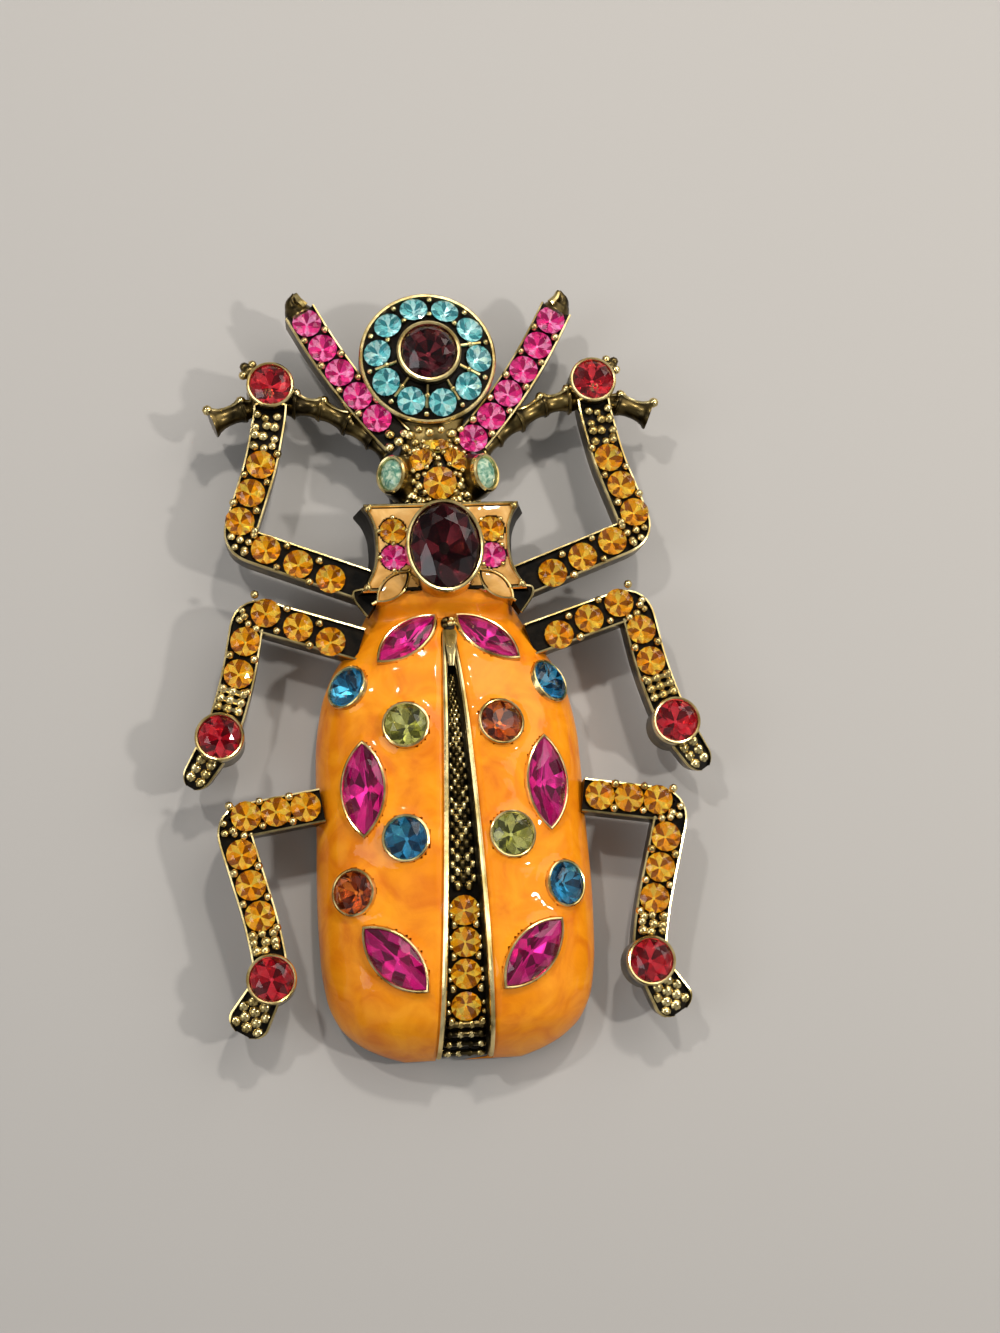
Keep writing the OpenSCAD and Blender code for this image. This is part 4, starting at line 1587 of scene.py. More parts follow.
    def pour(self, finishes: Finishes, cuts: Sequence[Setting], leaves: Sequence[Setting]) -> None:
        """Lays the peach pads and the leaf cells.

        Args:
            finishes: The materials.
            cuts: Seats and outlines that the pads stay clear of.
            leaves: Those of the leaf cells.
        """
        inverses = [(seat.matrix.inverted(), shape) for seat, shape in cuts]
        for side in Side:
            bench = Bench()
            part = bench.skin([self.pad_row(j, side.value) for j in range(self.pad_rows + 1)])
            for inverse, shape in inverses:
                gone = [v for v in part.verts if shape.distance(*(inverse @ v.co).to_2d()) < 0]
                bmesh.ops.delete(part, geom=gone, context="VERTS")
            thicken(part, self.pad_thickness)
            bench.take(part, 0.0005)
            node = f"thorax_enamel_{side.word}"
            bench.piece(f"thorax_pad_{side.word}", [finishes.peach], [node], 50)
        for side, (seat, shape) in zip(Side, leaves):
            bench = Bench()
            bench.pad(shape.grown(0.04), seat.matrix, 0.2, 0.5)
            node = f"leaf_enamel_{side.word}"
            bench.piece(f"leaf_pad_{side.word}", [finishes.peach], [node], 50)


@dataclass
class Head:
    """The pebbled head with its eyes."""

    y: float = 21.10
    z: float = 3.0
    radii: tuple = (5.7, 5.7, 7.6)
    skirt: float = 0.6
    beads: int = 190
    bead_sizes: tuple = (0.56, 0.44, 0.44, 0.44)
    golden_turn: float = 2.39996
    sunk: float = 0.2
    rings: int = 28
    sides: int = 72
    brow: tuple = ((2.1, -2.9, 0.62), (3.2, -2.2, 0.58), (2.6, -3.9, 0.5), (3.7, -3.2, 0.5), (2.3, -1.4, 0.5))
    eye_profile: tuple = (
        (0.0, -2.6), (0.02, 0.2), (0.14, 0.42), (0.34, 0.46), (0.52, 0.28), (0.58, -0.3), (0.95, -1.6),
        (0.9, -2.8),
    )

    def on(self, dx: float, dy: float) -> tuple[Vector, Vector]:
        """Finds a point of the head over a place.

        Args:
            dx: Place across, from the head's middle.
            dy: Place along.

        Returns:
            The point, and the normal there.
        """
        a, b, c = self.radii
        up = math.sqrt(max(0.0, 1 - (dx / a) ** 2 - (dy / b) ** 2))
        normal = Vector((dx / a / a, dy / b / b, up / c)).normalized()
        return Vector((dx, self.y + dy, self.z + up * c)), normal

    def dome(self, bench: Bench, set_in: Sequence[Setting]) -> None:
        """The dark dome under the beads.

        Args:
            bench: The mesh it is added to.
            set_in: The stones that get pits.
        """
        a, b, c = self.radii
        rows = []
        for j in range(self.rings + 1):
            lean = math.pi / 2 * j / self.rings
            rows.append([Vector((a * 0.96 * math.cos(lean) * cos, self.y + b * 0.96 * math.cos(lean) * sin,
                                 self.z + c * 0.97 * math.sin(lean))) for cos, sin in circle(self.sides)])
        low = self.z - self.skirt
        rows.insert(0, [Vector((p.x, p.y, low)) for p in rows[0]])
        rows.insert(0, [Vector((0, self.y, low)) for _ in rows[0]])
        part = bench.skin(rows, lambda i, j: Tone.BRONZE if j < 2 else Tone.RECESS, closed_across=True)
        bench.drill(part, set_in)
        bench.take(part)

    def cast(self, finishes: Finishes, stones: Sequence[Setting], eyes: Sequence[Setting]) -> None:
        """Builds the head's metal.

        Args:
            finishes: The materials.
            stones: Seats and outlines of the ambers.
            eyes: Those of the eyes.
        """
        bench = Bench()
        self.dome(bench, [*stones, *eyes])
        spots = [(seat.centre, shape.b + 0.36) for seat, shape in stones]
        spots += [(seat.centre, shape.a + 0.7) for seat, shape in eyes]
        for k in range(self.beads):
            share = (k + 0.5) / self.beads
            radius, turn = math.sqrt(share) * 0.99, k * self.golden_turn
            place = (self.radii[0] * radius * math.cos(turn), self.radii[1] * radius * math.sin(turn))
            point, normal = self.on(*place)
            if any((point - centre).length < reach for centre, reach in spots):
                continue
            tone = Tone.GOLD if k % 3 else Tone.BRONZE
            bench.bead(point - normal * self.sunk, self.bead_sizes[k % 4], tone)
        for setting in stones:
            bench.beads_round(setting, 6, 0.12, 0.1, 0.34)
        for side in (-1, 1):
            for dx, dy, size in self.brow:
                bench.bead(self.on(side * dx, dy)[0], size, Tone.GOLD, 0.8)
        for setting in eyes:
            bench.ring(setting, self.eye_profile, 28, lambda i, j: Tone.GOLD if i < 5 else Tone.BRONZE)
            bench.lid(setting, 0.9, -2.7)
        bench.piece("head_metal", finishes.metals)


@dataclass
class Disc:
    """The round plate ahead of the head, with a ring of stones round one large stone."""

    x: float = -0.5
    y: float = 35.80
    low: float = 4.6
    radius: float = 8.1
    edge: float = 8.2
    slope: float = 20.0
    sides: int = 112
    face: tuple = (7.1, 6.7, 6.3, 5.9, 5.5, 5.1, 4.7, 4.3, 3.9)
    bead_reaches: Place = (5.0, 7.05)
    spoke_reach: float = 3.75
    collar_profile: tuple = ((0.0, -1.2), (0.02, 0.22), (0.14, 0.44), (0.36, 0.48), (0.56, 0.30), (0.64, -1.2))
    neck_path: tuple = ((0.0, 24.4, 7.2), (-0.1, 26.4, 7.5), (-0.3, 29.6, 7.5))
    neck_loop: tuple = (
        (4.2, -3.2), (4.5, -2.4), (4.3, -0.8), (3.2, -0.1), (0.0, 0.15), (-3.2, -0.1), (-4.3, -0.8),
        (-4.5, -2.4), (-4.2, -3.2),
    )
    neck_beads: tuple = (
        (-3.0, 26.6, 0.62), (-1.9, 27.3, 0.5), (-0.7, 26.9, 0.6), (0.7, 27.2, 0.52), (1.9, 26.7, 0.62),
        (3.0, 27.2, 0.5), (-2.4, 25.7, 0.5), (2.5, 25.8, 0.5),
    )

    def top(self, r: float) -> float:
        """Height of the ring's face at a radius."""
        return self.edge + (self.radius - r) * math.tan(math.radians(self.slope))

    def on(self, turn: float, reach: float, over: float) -> Vector:
        """Point over the ring's face."""
        x, y = self.x + reach * math.cos(turn), self.y + reach * math.sin(turn)
        return Vector((x, y, self.top(reach) + over))

    def profile(self) -> list[Place]:
        """Section of the disc, from the middle of its underside.

        Returns:
            Places as radius and height.
        """
        r, rim, inside = self.radius, self.edge + 0.12, self.top(3.8) + 0.2
        return [
            (0.0, self.low), (r - 1.0, self.low), (r - 0.3, self.low + 0.3), (r - 0.05, self.low + 1.2),
            (r - 0.12, self.edge - 0.3), (r - 0.05, self.edge - 0.05), (r - 0.2, rim), (r - 0.45, rim),
            *((q, self.top(q) - 0.35) for q in (r - 0.62, *self.face)),
            (3.9, inside), (3.0, inside), (3.0, self.low + 0.6), (0.0, self.low + 0.6),
        ]

    def neck(self, bench: Bench) -> None:
        """Dark lump between the head and the disc, with a few beads.

        Args:
            bench: The mesh it is added to.
        """
        path = resampled([Vector(p) for p in self.neck_path], 0.6)
        tones = [Tone.BRONZE] * len(self.neck_loop)
        bench.sweep(path, self.neck_loop, tones, lambda t: 1.0 - 0.22 * math.sin(math.pi * t))
        for x, y, size in self.neck_beads:
            bench.bead(Vector((x, y, 7.55)), size, Tone.GOLD, 0.8)

    def cast(self, finishes: Finishes, middle: Setting, ring: Sequence[Setting]) -> None:
        """Builds the disc's metal.

        Args:
            finishes: The materials.
            middle: Seat and outline of the large stone.
            ring: Those of the stones round it.
        """
        bench = Bench()
        spot = Matrix.Translation((self.x, self.y, 0))
        profile = self.profile()
        rows = [[spot @ Vector((q * c, q * s, z)) for q, z in profile] for c, s in circle(self.sides)]
        tones = [Tone.BRONZE] * 4 + [Tone.GOLD] * 4 + [Tone.RECESS] * len(profile)
        part = bench.skin(rows, lambda i, j: tones[i], closed_along=True)
        bench.drill(part, ring)
        bench.take(part)
        bench.ring(middle, self.collar_profile, 36)
        angles = sorted(math.atan2(s.centre.y - self.y, s.centre.x - self.x) for s, _ in ring)
        for k, a in enumerate(angles):
            after = angles[(k + 1) % len(angles)] + (math.tau if k + 1 == len(angles) else 0)
            between = (a + after) / 2
            pair = [self.on(between, reach, 0.02) for reach in self.bead_reaches]
            for p in pair:
                bench.bead(p, 0.36)
            if math.sin(between) < 0.35:
                inner = self.on(between, self.spoke_reach, -0.05)
                bench.tube([inner, inner.lerp(pair[-1], 0.8)], 0.2, 6)
        self.neck(bench)
        bench.piece("disc_metal", finishes.metals)


@dataclass(frozen=True)
class Toe:
    """A toe: its tip, its last width as a share, and the rows of its beads with their size and spacing."""

    tip: Place
    wide: float
    rows: tuple
    size: float
    step: float

    def width(self, t: float) -> float:
        """Share of the full width at a share of the toe, narrowed and rounded at the end."""
        return (1 + (self.wide - 1) * t) * math.sqrt(max(0.04, 1 - max(0, t - 0.65) ** 2 / 0.14))


@dataclass
class Limbs:
    """Troughs with rows of stones: the legs and the horns."""

    width: float = 3.9
    low: float = 3.4
    top: float = 7.2
    stone: float = 1.6
    step: float = 0.35
    cells: int = 10
    pits: tuple = (0.28, 1.1, 0.5)
    bars: tuple = (-1.4, 0, 1.4)
    bar_beads: tuple = (-1.15, 0.1, 1.2)
    columns: int = 3
    pebble: float = 0.54
    legs: dict = field(default_factory=lambda: {
        "front": ((7.5, 8.3), (23.3, 14.4), (20.3, 23.5), (19.0, 29.9), (18.9, 32.9)),
        "mid": ((9.7, 1.9), (22.2, 6.0), (23.5, -1.1), (24.6, -5.0), (25.8, -8.4)),
        "hind": ((14.7, -16.3), (24.9, -17.9), (22.0, -28.3), (21.2, -32.2), (20.9, -35.3)),
    })
    instep_rows: dict = field(default_factory=lambda: {"front": 4, "mid": 3, "hind": 3})
    toes: dict = field(default_factory=lambda: {
        "mid": Toe((29.3, -13.6), 0.80, ((-0.72, 0.72),), 0.72, 1.15),
        "hind": Toe((24.3, -41.0), 1.32, ((-0.75, 0.75), (-1.45, 0.0, 1.45)), 0.7, 0.95),
    })
    knob: tuple = (
        (2.35, 2.2, -1.6, 1.0, Tone.BRONZE), (3.1, 1.7, -1.3, 0.55, Tone.GOLD),
        (2.0, 3.0, -1.3, 0.55, Tone.GOLD), (2.9, 2.8, -1.5, 0.6, Tone.BRONZE),
    )
    elbow: tuple = (
        (-2.1, 0.0, 0.5), (-1.3, 0.65, 0.5), (-1.2, -0.6, 0.46), (-0.4, 0.0, 0.52), (-0.5, 1.3, 0.46),
        (-0.4, -1.3, 0.5), (0.4, 0.7, 0.5), (0.45, -0.6, 0.46),
    )
    cup_profile: tuple = (
        (0.02, 0.12), (0.10, 0.32), (0.26, 0.36), (0.40, 0.22), (0.44, -0.5), (0.42, -1.2), (0.42, -4.3),
        (0.0, -4.5), (0.0, -1.4),
    )

    @staticmethod
    def section(low: float, top: float, width: float) -> tuple[list[Place], list[Tone]]:
        """Section of a trough about its top.

        Args:
            low: Height of its underside.
            top: Height of its top.
            width: Its width.

        Returns:
            The loop of its corners, and the finish of each of its sides.
        """
        w, h = width / 2, top - low
        right = [(w - 0.55, -h), (w - 0.12, -h + 0.5), (w, -0.35), (w - 0.06, -0.02), (w - 0.24, 0.03),
                 (w - 0.36, -0.42)]
        loop = right + [(-a, b) for a, b in reversed(right)]
        bronze, gold, black = Tone.BRONZE, Tone.GOLD, Tone.RECESS
        return loop, [bronze, bronze, gold, gold, black, black, black, gold, gold, bronze, bronze, bronze]

    def trough(self, bench: Bench, path: Sequence[Vector], low: float, stones: Sequence[Setting]) -> None:
        """Lays a trough along a path at its top, its floor drilled for the stones.

        Args:
            bench: The mesh it is added to.
            path: Points of its top's middle line.
            low: Height of its underside.
            stones: Seats and outlines of the stones in it.
        """
        loop, tones = self.section(low, path[0].z, self.width)
        (left, z), (right, _) = loop[5:7]
        floor = [(left + (right - left) * k / self.cells, z) for k in range(self.cells + 1)]
        loop = loop[:5] + floor + loop[7:]
        tones = tones[:5] + [tones[5]] * self.cells + tones[6:]
        rows = [[m @ Vector((a, b, 0)) for a, b in loop] for m in frames(resampled(path, self.step))]
        part = bench.skin(rows, lambda i, j: tones[i % len(tones)], closed_across=True)
        bench.cap(part)
        bmesh.ops.recalc_face_normals(part, faces=part.faces[:])
        bench.drill(part, stones, *self.pits)
        bench.take(part)

    def prongs(self, bench: Bench, line: Sequence[Vector], z: float) -> None:
        """Pairs of beads between neighbours of a row.

        Args:
            bench: The mesh they are added to.
            line: The row's places.
            z: Height of the trough's top.
        """
        for k, (before, after) in enumerate(zip(line, line[1:])):
            right = (after - before).cross(UP).normalized()
            middle = (before + after) / 2
            for side in (-1, 1):
                p = middle + right * side * (self.width / 2 - 0.55)
                bench.bead(Vector((p.x, p.y, z + 0.12)), 0.46 + 0.06 * ((k + side) % 2))

    def instep(self, bench: Bench, leg: str, start: Vector, end: Vector) -> None:
        """Beads between a leg's last stone and its foot, in bars on the middle legs.

        Args:
            bench: The mesh they are added to.
            leg: The leg's name.
            start: Where they start.
            end: Where they end.
        """
        along = end - start
        right = along.cross(UP).normalized()
        rows, columns = self.instep_rows[leg], self.columns
        width, z = self.width - 0.5, self.top - 0.05
        for j in range(rows):
            if leg == "mid":
                p = start + along * ((j + 0.5) / rows)
                bar = [Vector((*(p + right * s).to_2d(), self.top - 0.08)) for s in self.bars]
                bench.tube(bar, 0.36, 6)
                for s in self.bar_beads:
                    bench.bead(Vector((*(p + right * s).to_2d(), self.top - 0.02)), 0.56, Tone.GOLD, 0.8)
                continue
            for i in range(columns):
                across = (i - (columns - 1) / 2) * width / columns + 0.14 * math.sin(3.1 * j + 1.9 * i)
                p = start + along * ((j + 0.5 + 0.16 * math.sin(2.3 * j + 4.1 * i)) / rows) + right * across
                size = self.pebble * (1 + 0.12 * math.sin(5.0 * i + 2.0 * j))
                bench.bead(Vector((p.x, p.y, z)), size, Tone.GOLD, 0.85)

    def leg(self, bench: Bench, leg: str, side: Side, row: Sequence[Setting], foot: Setting) -> None:
        """One leg with its beads, its foot and its toe.

        Args:
            bench: The mesh it is added to.
            leg: Its name.
            side: Its side.
            row: Seats and outlines of its ambers.
            foot: Those of the stone on its foot.
        """
        points = [Vector((side.value * x, y, self.top)) for x, y in self.legs[leg]]
        self.trough(bench, rounded(points, 2.0), self.low, [*row, foot])
        centres = [s.centre for s, _ in row]
        hip, knee = points[:2]
        first = sorted((c for c in centres if self.on_first(c, points)), key=lambda c: (c - hip).length)
        second = sorted((c for c in centres if not self.on_first(c, points)), key=lambda c: (c - knee).length)
        for line in (first, second):
            self.prongs(bench, [*line, line[-1] * 2 - line[-2]], self.top)
        corner = (first[-1] + second[0]) / 2
        out = ((knee - corner) * Vector((1, 1, 0))).normalized()
        beside = out.cross(UP)
        for u, v, size in self.elbow:
            p = Vector((knee.x, knee.y, self.top)) + out * u + beside * v
            if all((p - c).to_2d().length > self.stone + size * 0.6 for c in centres):
                bench.bead(p, size, Tone.GOLD, 0.9)
        seat, shape = foot
        way = (seat.centre - second[-1]).normalized()
        self.instep(bench, leg, second[-1] + way * self.stone, seat.centre - way * (shape.b + 0.6))
        bench.ring(foot, self.cup_profile, 32, lambda i, j: Tone.GOLD if i < 4 else Tone.BRONZE)
        bench.lid(foot, 0.1, -4.4)
        if leg in self.toes:
            self.toe(bench, self.toes[leg], side, points[-1])
        else:
            for dx, dy, dz, size, tone in self.knob:
                bench.bead(seat.centre + Vector((side.value * dx, dy, dz)), size, tone, 0.9)

    @staticmethod
    def gap(place: Vector, a: Vector, b: Vector) -> float:
        """Measures how far a place is from a stretch, seen from above.

        Args:
            place: The place.
            a: One end of the stretch.
            b: Its other end.

        Returns:
            The distance.
        """
        along = b - a
        t = min(max((place - a).dot(along) / along.length_squared, 0), 1)
        return (place - a - along * t).to_2d().length

    def on_first(self, place: Vector, points: Sequence[Vector]) -> bool:
        """Whether a stone belongs to the row between the hip and the knee."""
        return self.gap(place, points[0], points[1]) < self.gap(place, points[1], points[2])

    def toe(self, bench: Bench, toe: Toe, side: Side, foot: Vector) -> None:
        """The pebbled toe beyond a foot.

        Args:
            bench: The mesh it is added to.
            toe: Its sizes.
            side: Its side.
            foot: Where the leg ends.
        """
        tip = Vector((side.value * toe.tip[0], toe.tip[1], self.top - 1.4))
        path = [foot.lerp(tip, 0.25 + 0.75 * k / 20) for k in range(21)]
        bench.sweep(path, *self.section(self.low, self.top - 0.7, self.width), toe.width)
        right = (tip - foot).normalized().cross(UP).normalized()
        length = (tip - foot).length
        at, row = 2.9, 0
        while at < length - 0.3:
            for s in toe.rows[row % len(toe.rows)]:
                p = foot.lerp(tip, at / length) + right * s
                bench.bead(p - UP * 0.65, toe.size, Tone.GOLD, 0.8)
            at += toe.step
            row += 1

    def set_stones(self, stones: Stones) -> dict:
        """Cuts the stones of the six legs.

        Args:
            stones: Their cutter.

        Returns:
            For each leg and side the settings of the ambers, and that of the stone on the foot.
        """
        made = {}
        for leg, side in ((leg, side) for leg in self.legs for side in Side):
            row = stones.small(f"leg_stones_{leg}_{side.word}", "amber", 0.14)
            made[leg, side] = row, stones.set_one(f"foot_stone_{leg}_{side.word}", "ruby")[0]
        return made

    def cast(self, finishes: Finishes, settings: dict) -> None:
        """Builds the six legs.

        Args:
            finishes: The materials.
            settings: What set_stones gives.
        """
        for (leg, side), (row, foot) in settings.items():
            bench = Bench()
            self.leg(bench, leg, side, row, foot)
            bench.piece(f"leg_metal_{leg}_{side.word}", finishes.metals)


@dataclass
class Horns:
    """The two horns beside the disc, and the barbed bar of the antennae under them."""

    limbs: Limbs
    root: Place = (4.41, 26.05)
    bend: Place = (10.27, 32.6)
    end: Place = (14.42, 40.6)
    beyond: float = 1.7
    steps: int = 16
    low: float = 3.8
    top: float = 7.6
    antenna_z: float = 5.6
    antenna_w: float = 2.7
    barbs: tuple = (
        (5.4, 24.9, 1.0), (7.2, 26.8, 1.0), (10.0, 28.9, 1.15), (13.2, 30.6, 1.0), (16.2, 31.2, 1.2),
        (19.1, 31.2, 1.15), (22.2, 30.6, 1.0), (25.8, 29.2, 1.35),
    )
    waist: tuple = (
        (0, 1.0), (0.06, 1.0), (0.14, 0.86), (0.3, 0.74), (0.5, 0.70), (0.7, 0.74), (0.86, 0.86), (0.94, 1.0),
        (1, 1.0),
    )
    knot_ring: tuple = ((-0.06, 0.95), (-0.03, 1.08), (0.03, 1.08), (0.06, 0.95))
    under_ruby: int = 5
    empty_seat: tuple = (
        (-1.0, -0.9, 0.55), (0.1, -0.2, 0.6), (-0.9, 0.7, 0.6), (0.8, 0.8, 0.55), (0.9, -1.0, 0.5),
    )
    hook: tuple = ((-0.2, 0.0, -1.55), (0.7, 0.1, -1.3), (1.7, 0.15, -0.9), (2.2, -0.7, -0.5))
    ridge: tuple = ((0.3, -0.9, -0.1), (1.2, -0.6, 0.05), (2.1, -0.65, -0.2))
    ridge_radii: tuple = (0.5, 0.4, 0.3)

    def place(self, t: float, side: Side) -> Vector:
        """Finds a point of a horn's middle line.

        Args:
            t: Share of its length.
            side: Its side.

        Returns:
            The point.
        """
        x, y = ((1 - t) ** 2 * a + 2 * t * (1 - t) * b + t * t * c
                for a, b, c in zip(self.root, self.bend, self.end))
        return Vector((side.value * x, y, self.top))

    def cast(self, finishes: Finishes, rows: dict) -> None:
        """Builds horns and antennae.

        Args:
            finishes: The materials.
            rows: Seats and outlines of the stones on each side.
        """
        for side in Side:
            bench = Bench()
            path = [self.place(k / self.steps, side) for k in range(self.steps + 1)]
            way = (path[-1] - path[-2]).normalized()
            end = path[-1] + way * self.beyond
            self.limbs.trough(bench, [*path, end], self.low, rows[side])
            row = sorted((s.centre for s, _ in rows[side]), key=lambda c: c.y)
            self.limbs.prongs(bench, row, self.top)
            right = way.cross(UP) * side.value
            if side is Side.LEFT:
                for dx, dy, size in self.empty_seat:
                    bench.bead(path[0] + Vector((dx, dy, -0.1)), size, Tone.GOLD, 0.8)
            hook, ridge = ([end + way * a + right * b + UP * c for a, b, c in table]
                           for table in (self.hook, self.ridge))
            taper = [1.78 - 1.4 * (k / 13) ** 1.2 for k in range(14)]
            bench.tube(rounded(hook, 1.2, 5), taper, 14, Tone.BRONZE)
            bench.tube(ridge, self.ridge_radii)
            bench.piece(f"horn_metal_{side.word}", finishes.metals)
            self.antenna(finishes, side)

    def antenna(self, finishes: Finishes, side: Side) -> None:
        """The bar from the head to its flared end, waisted between knobs.

        Args:
            finishes: The materials.
            side: Its side.
        """
        bench = Bench()
        knots = [Vector((side.value * x, y, self.antenna_z)) for x, y, _ in self.barbs]
        sizes = [self.antenna_w / 2 * barb[2] for barb in self.barbs]
        for k, (a, b) in enumerate(zip(knots, knots[1:])):
            size, after = sizes[k], sizes[k + 1]
            path = [a.lerp(b, t) for t, _ in self.waist]
            radii = [(size + (after - size) * t) * w for t, w in self.waist]
            bench.tube(path, radii, 12, Tone.BRONZE)
            away = (b - a).cross(UP).normalized()
            away *= math.copysign(1, away.y)
            crest = [p + away * r * 0.72 + UP * r * 0.6 for p, r in zip(path, radii)]
            bench.tube(crest, [0.2 + 0.14 * (w - 0.7) / 0.3 for _, w in self.waist])
            if k not in (0, self.under_ruby):
                ring = [a.lerp(b, t) for t, _ in self.knot_ring]
                bench.tube(ring, [size * r for _, r in self.knot_ring], 12, Tone.BRONZE)
            if k + 1 != self.under_ruby:
                bench.bead(b + away * after * 0.7 + UP * after * 0.55, 0.62, Tone.GOLD, 0.85)
        bench.piece(f"antenna_metal_{side.word}", finishes.metals)


@dataclass
class PinBack:
    """The plain bar across the hollow back with its closed pin."""

    y: float = -8.12
    length: float = 20.0
    width: float = 4.4
    thick: float = 1.0
    under: float = 3.4
    hinge: float = 2.4
    catch: float = 2.0
    wire: float = 0.9
    wire_low: float = 0.9

    def block(self, bench: Bench, xs: Place, half_y: float, zs: Place, bevel: float) -> None:
        """Bevelled block about the bar's middle line.

        Args:
            bench: The mesh it is added to.
            xs: Its ends across the brooch.
            half_y: Half its size along the brooch.
            zs: Its underside and its top.
            bevel: Width of the bevel.
        """
        low, high = (Vector((x, self.y + way * half_y, z)) for x, way, z in zip(xs, (-1, 1), zs))
        part = bmesh.new()
        spot = Matrix.Translation((low + high) / 2) @ Matrix.Diagonal((*(high - low), 1))
        bmesh.ops.create_cube(part, size=1.0, matrix=spot)
        bmesh.ops.bevel(part, geom=part.edges[:], offset=bevel, segments=2, profile=0.5, affect="EDGES",
                        material=-1)
        smooth(part)
        bench.take(part)

    def build(self, finishes: Finishes) -> None:
        """Builds bar, hinge, catch and wire.

        Args:
            finishes: The materials.
        """
        bench = Bench()
        half, wide, round_wire = self.length / 2, self.width / 2, self.wire / 2
        jaw = (self.wire_low - round_wire, self.under + 0.5)
        self.block(bench, (-half, half), wide, (self.under, self.under + self.thick), 0.2)
        self.block(bench, (-half, -half + self.hinge), wide, jaw, 0.35)
        self.block(bench, (half - self.catch, half), wide / 2, jaw, 0.35)
        path = [Vector((x, self.y, self.wire_low + round_wire)) for x in (-half + 1.0, 0.0, half - 1.0)]
        bench.tube(path, round_wire, 16, Tone.BRONZE)
        bench.piece("pin_back_steel", [finishes.steel], ["pin_back"])


@dataclass(frozen=True)
class Lamp:
    """Square area light aimed at the brooch, its place and size in millimetres."""

    name: str
    place: tuple
    size: float
    power: float
    colour: Colour

    def hang(self) -> None:
        """Puts the lamp into the scene."""
        data = bpy.data.lights.new(self.name, "AREA")
        data.shape = "SQUARE"
        data.size = self.size * MM
        data.energy = self.power
        data.color = self.colour
        made = show(self.name, data)
        made.location = Vector(self.place) * MM
        made.rotation_euler = (-made.location).to_track_quat("-Z", "Y").to_euler()


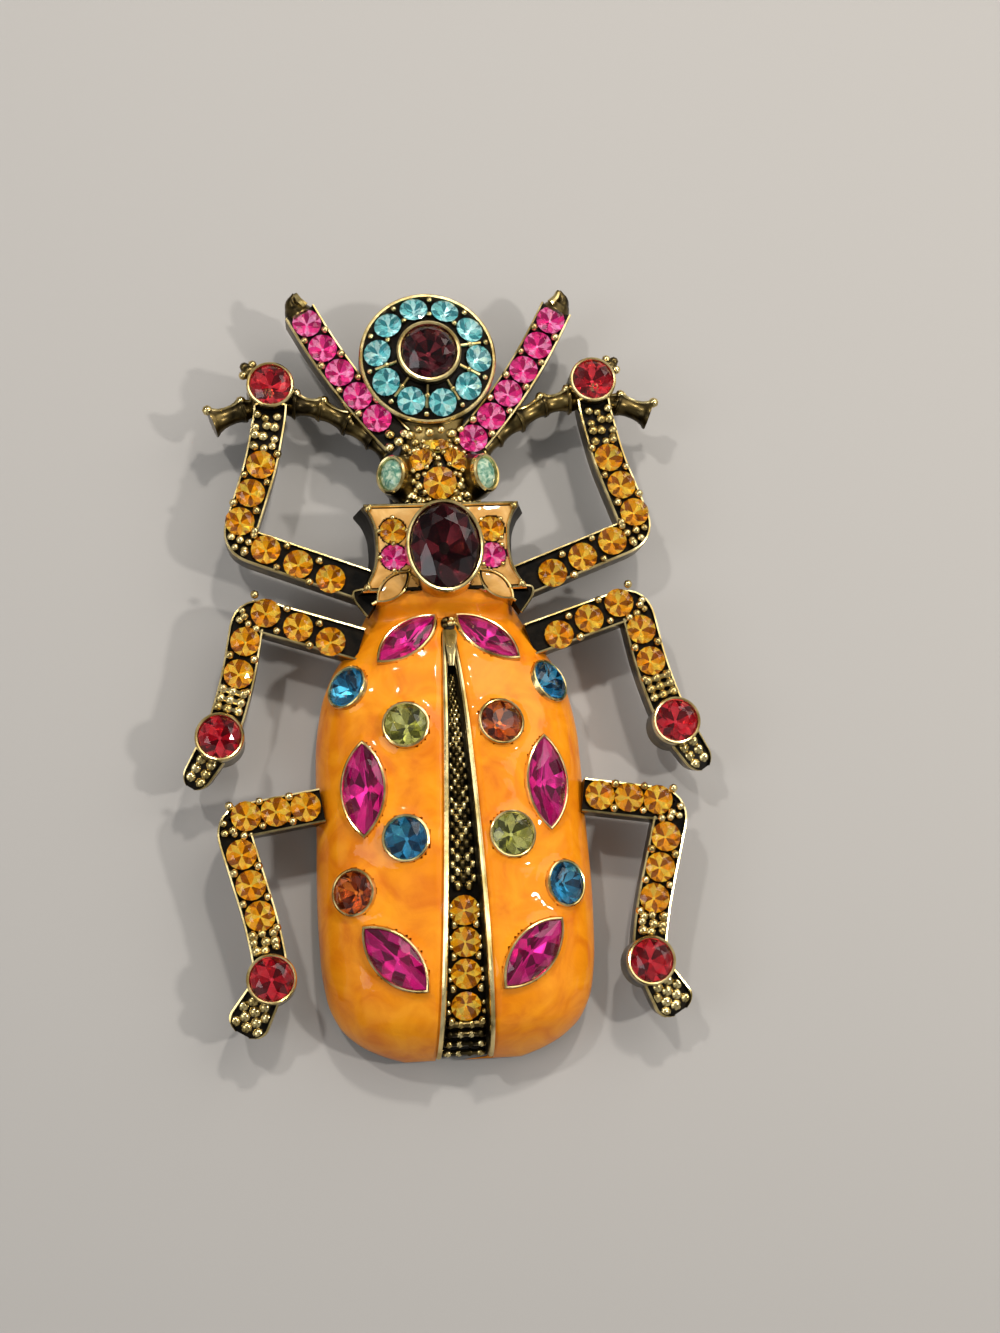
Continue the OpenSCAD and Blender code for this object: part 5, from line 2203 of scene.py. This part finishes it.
@dataclass
class Studio:
    """Floor, light and camera."""

    eye: tuple = (-20.0, -49.94, 228.74)
    azimuth: float = -28.13
    elevation: float = 76.0
    roll: float = 25.55
    lens: float = 54.07
    floor_colour: Colour = (0.38, 0.365, 0.35)
    room: float = 0.45
    room_patches: tuple = ((0.40, 0.10), (0.60, 1.0))
    lamps: tuple = (
        Lamp("key", (330, 290, 380), 460, 1.35, (1.0, 0.96, 0.90)),
        Lamp("fill", (-320, -60, 300), 220, 0.38, (0.95, 0.97, 1.0)),
        Lamp("spark_a", (60, 250, 330), 26, 0.6, (1.0, 0.95, 0.88)),
        Lamp("spark_b", (250, -40, 290), 22, 0.55, (1.0, 0.96, 0.9)),
        Lamp("spark_c", (-150, 190, 360), 22, 0.5, (1.0, 0.97, 0.92)),
    )

    def floor(self) -> None:
        """Plain pale floor."""
        bm = bmesh.new()
        bmesh.ops.create_grid(bm, x_segments=1, y_segments=1, size=1.5)
        mesh = bpy.data.meshes.new("floor")
        bm.to_mesh(mesh)
        bm.free()
        nodes = Nodes.new("floor_grey")
        mesh.materials.append(nodes.close(nodes.add("ShaderNodeBsdfPrincipled", Roughness=0.75,
                                                    Base_Color=(*self.floor_colour, 1.0))))
        made = show("floor", mesh)

    def light(self) -> None:
        """Soft room light in uneven patches, with a few lamps."""
        world = bpy.data.worlds.new("studio")
        world.use_nodes = True
        tree = world.node_tree
        back = tree.nodes["Background"]
        where = tree.nodes.new("ShaderNodeTexCoord")
        patches = tree.nodes.new("ShaderNodeTexNoise")
        patches.inputs["Scale"].default_value = 2.3
        patches.inputs["Detail"].default_value = 1.0
        tones = tree.nodes.new("ShaderNodeValToRGB")
        for element, (at, tone) in zip(tones.color_ramp.elements, self.room_patches):
            element.position = at
            element.color = (tone, tone, tone * 0.98, 1.0)
        tree.links.new(where.outputs["Generated"], patches.inputs["Vector"])
        tree.links.new(patches.outputs["Fac"], tones.inputs["Fac"])
        tree.links.new(tones.outputs["Color"], back.inputs["Color"])
        back.inputs["Strength"].default_value = self.room
        bpy.context.scene.world = world
        for lamp in self.lamps:
            lamp.hang()
        bpy.context.scene.view_settings.view_transform = "Standard"

    def shoot(self) -> None:
        """Camera where the photo was taken from."""
        az, el, roll = (math.radians(a) for a in (self.azimuth, self.elevation, self.roll))
        back = Vector((math.sin(az) * math.cos(el), -math.cos(az) * math.cos(el), math.sin(el)))
        right = Vector((math.cos(az), math.sin(az), 0))
        up = back.cross(right)
        x = right * math.cos(roll) + up * math.sin(roll)
        y = up * math.cos(roll) - right * math.sin(roll)
        data = bpy.data.cameras.new("camera")
        data.lens = self.lens
        data.clip_start, data.clip_end = 0.01, 10.0
        made = show("camera", data)
        turn = Matrix((x, y, back)).transposed().to_4x4()
        made.matrix_world = Matrix.Translation(Vector(self.eye) * MM) @ turn
        bpy.context.scene.camera = made


def main() -> None:
    """Builds the brooch in its frame."""
    logging.basicConfig(level=logging.INFO, format="%(name)s: %(message)s")
    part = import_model()
    finishes = Finishes()
    stones = Stones(part["nodes"], finishes)

    wings = WingCases()
    wing_stones = wings.set_stones(stones)
    oval = stones.set_one("oval_stone", "dark_amethyst", Plan.OVAL, OVAL_RATIO, girdle=0.03, extra=0.25)[0]
    wings.pour([*wing_stones, oval], finishes.orange)
    row = stones.small("abdomen_stones", "amber", 0.12)
    wings.cast(finishes, [*wing_stones, *row])
    wings.collars(finishes, wing_stones, row)

    thorax = Thorax()
    small = [setting for side in Side for gem in ("amber", "pink")
             for setting in stones.small(f"thorax_{gem}_{side.word}", gem, 0.1)]
    leaves = thorax.leaves()
    thorax.cast(finishes, oval, small, leaves)
    kept_clear = [([oval], 0.35), (small, 0.06), (leaves, 0.2)]
    cuts = [(seat, shape.grown(extra)) for settings, extra in kept_clear for seat, shape in settings]
    thorax.pour(finishes, cuts, leaves)

    head_stones = [p for k in range(1, 5) for p in stones.small(f"head_stone_{k}", "amber", 0.16)]
    eyes = [p for side in Side for p in stones.set_one(f"eye_{side.word}", "opal", Plan.OVAL, EYE_RATIO)]
    Head().cast(finishes, head_stones, eyes)

    middle = stones.set_one("disc_stone", "dark_amethyst", facets=10)[0]
    Disc().cast(finishes, middle, stones.small("disc_ring_stones", "aqua", 0.08))

    limbs = Limbs()
    limbs.cast(finishes, limbs.set_stones(stones))
    Horns(limbs).cast(finishes, {side: stones.small(f"horn_stones_{side.word}", "pink", 0.14) for side in Side})
    PinBack().build(finishes)

    studio = Studio()
    studio.floor()
    studio.light()
    studio.shoot()


if __name__ == "__main__":
    main()
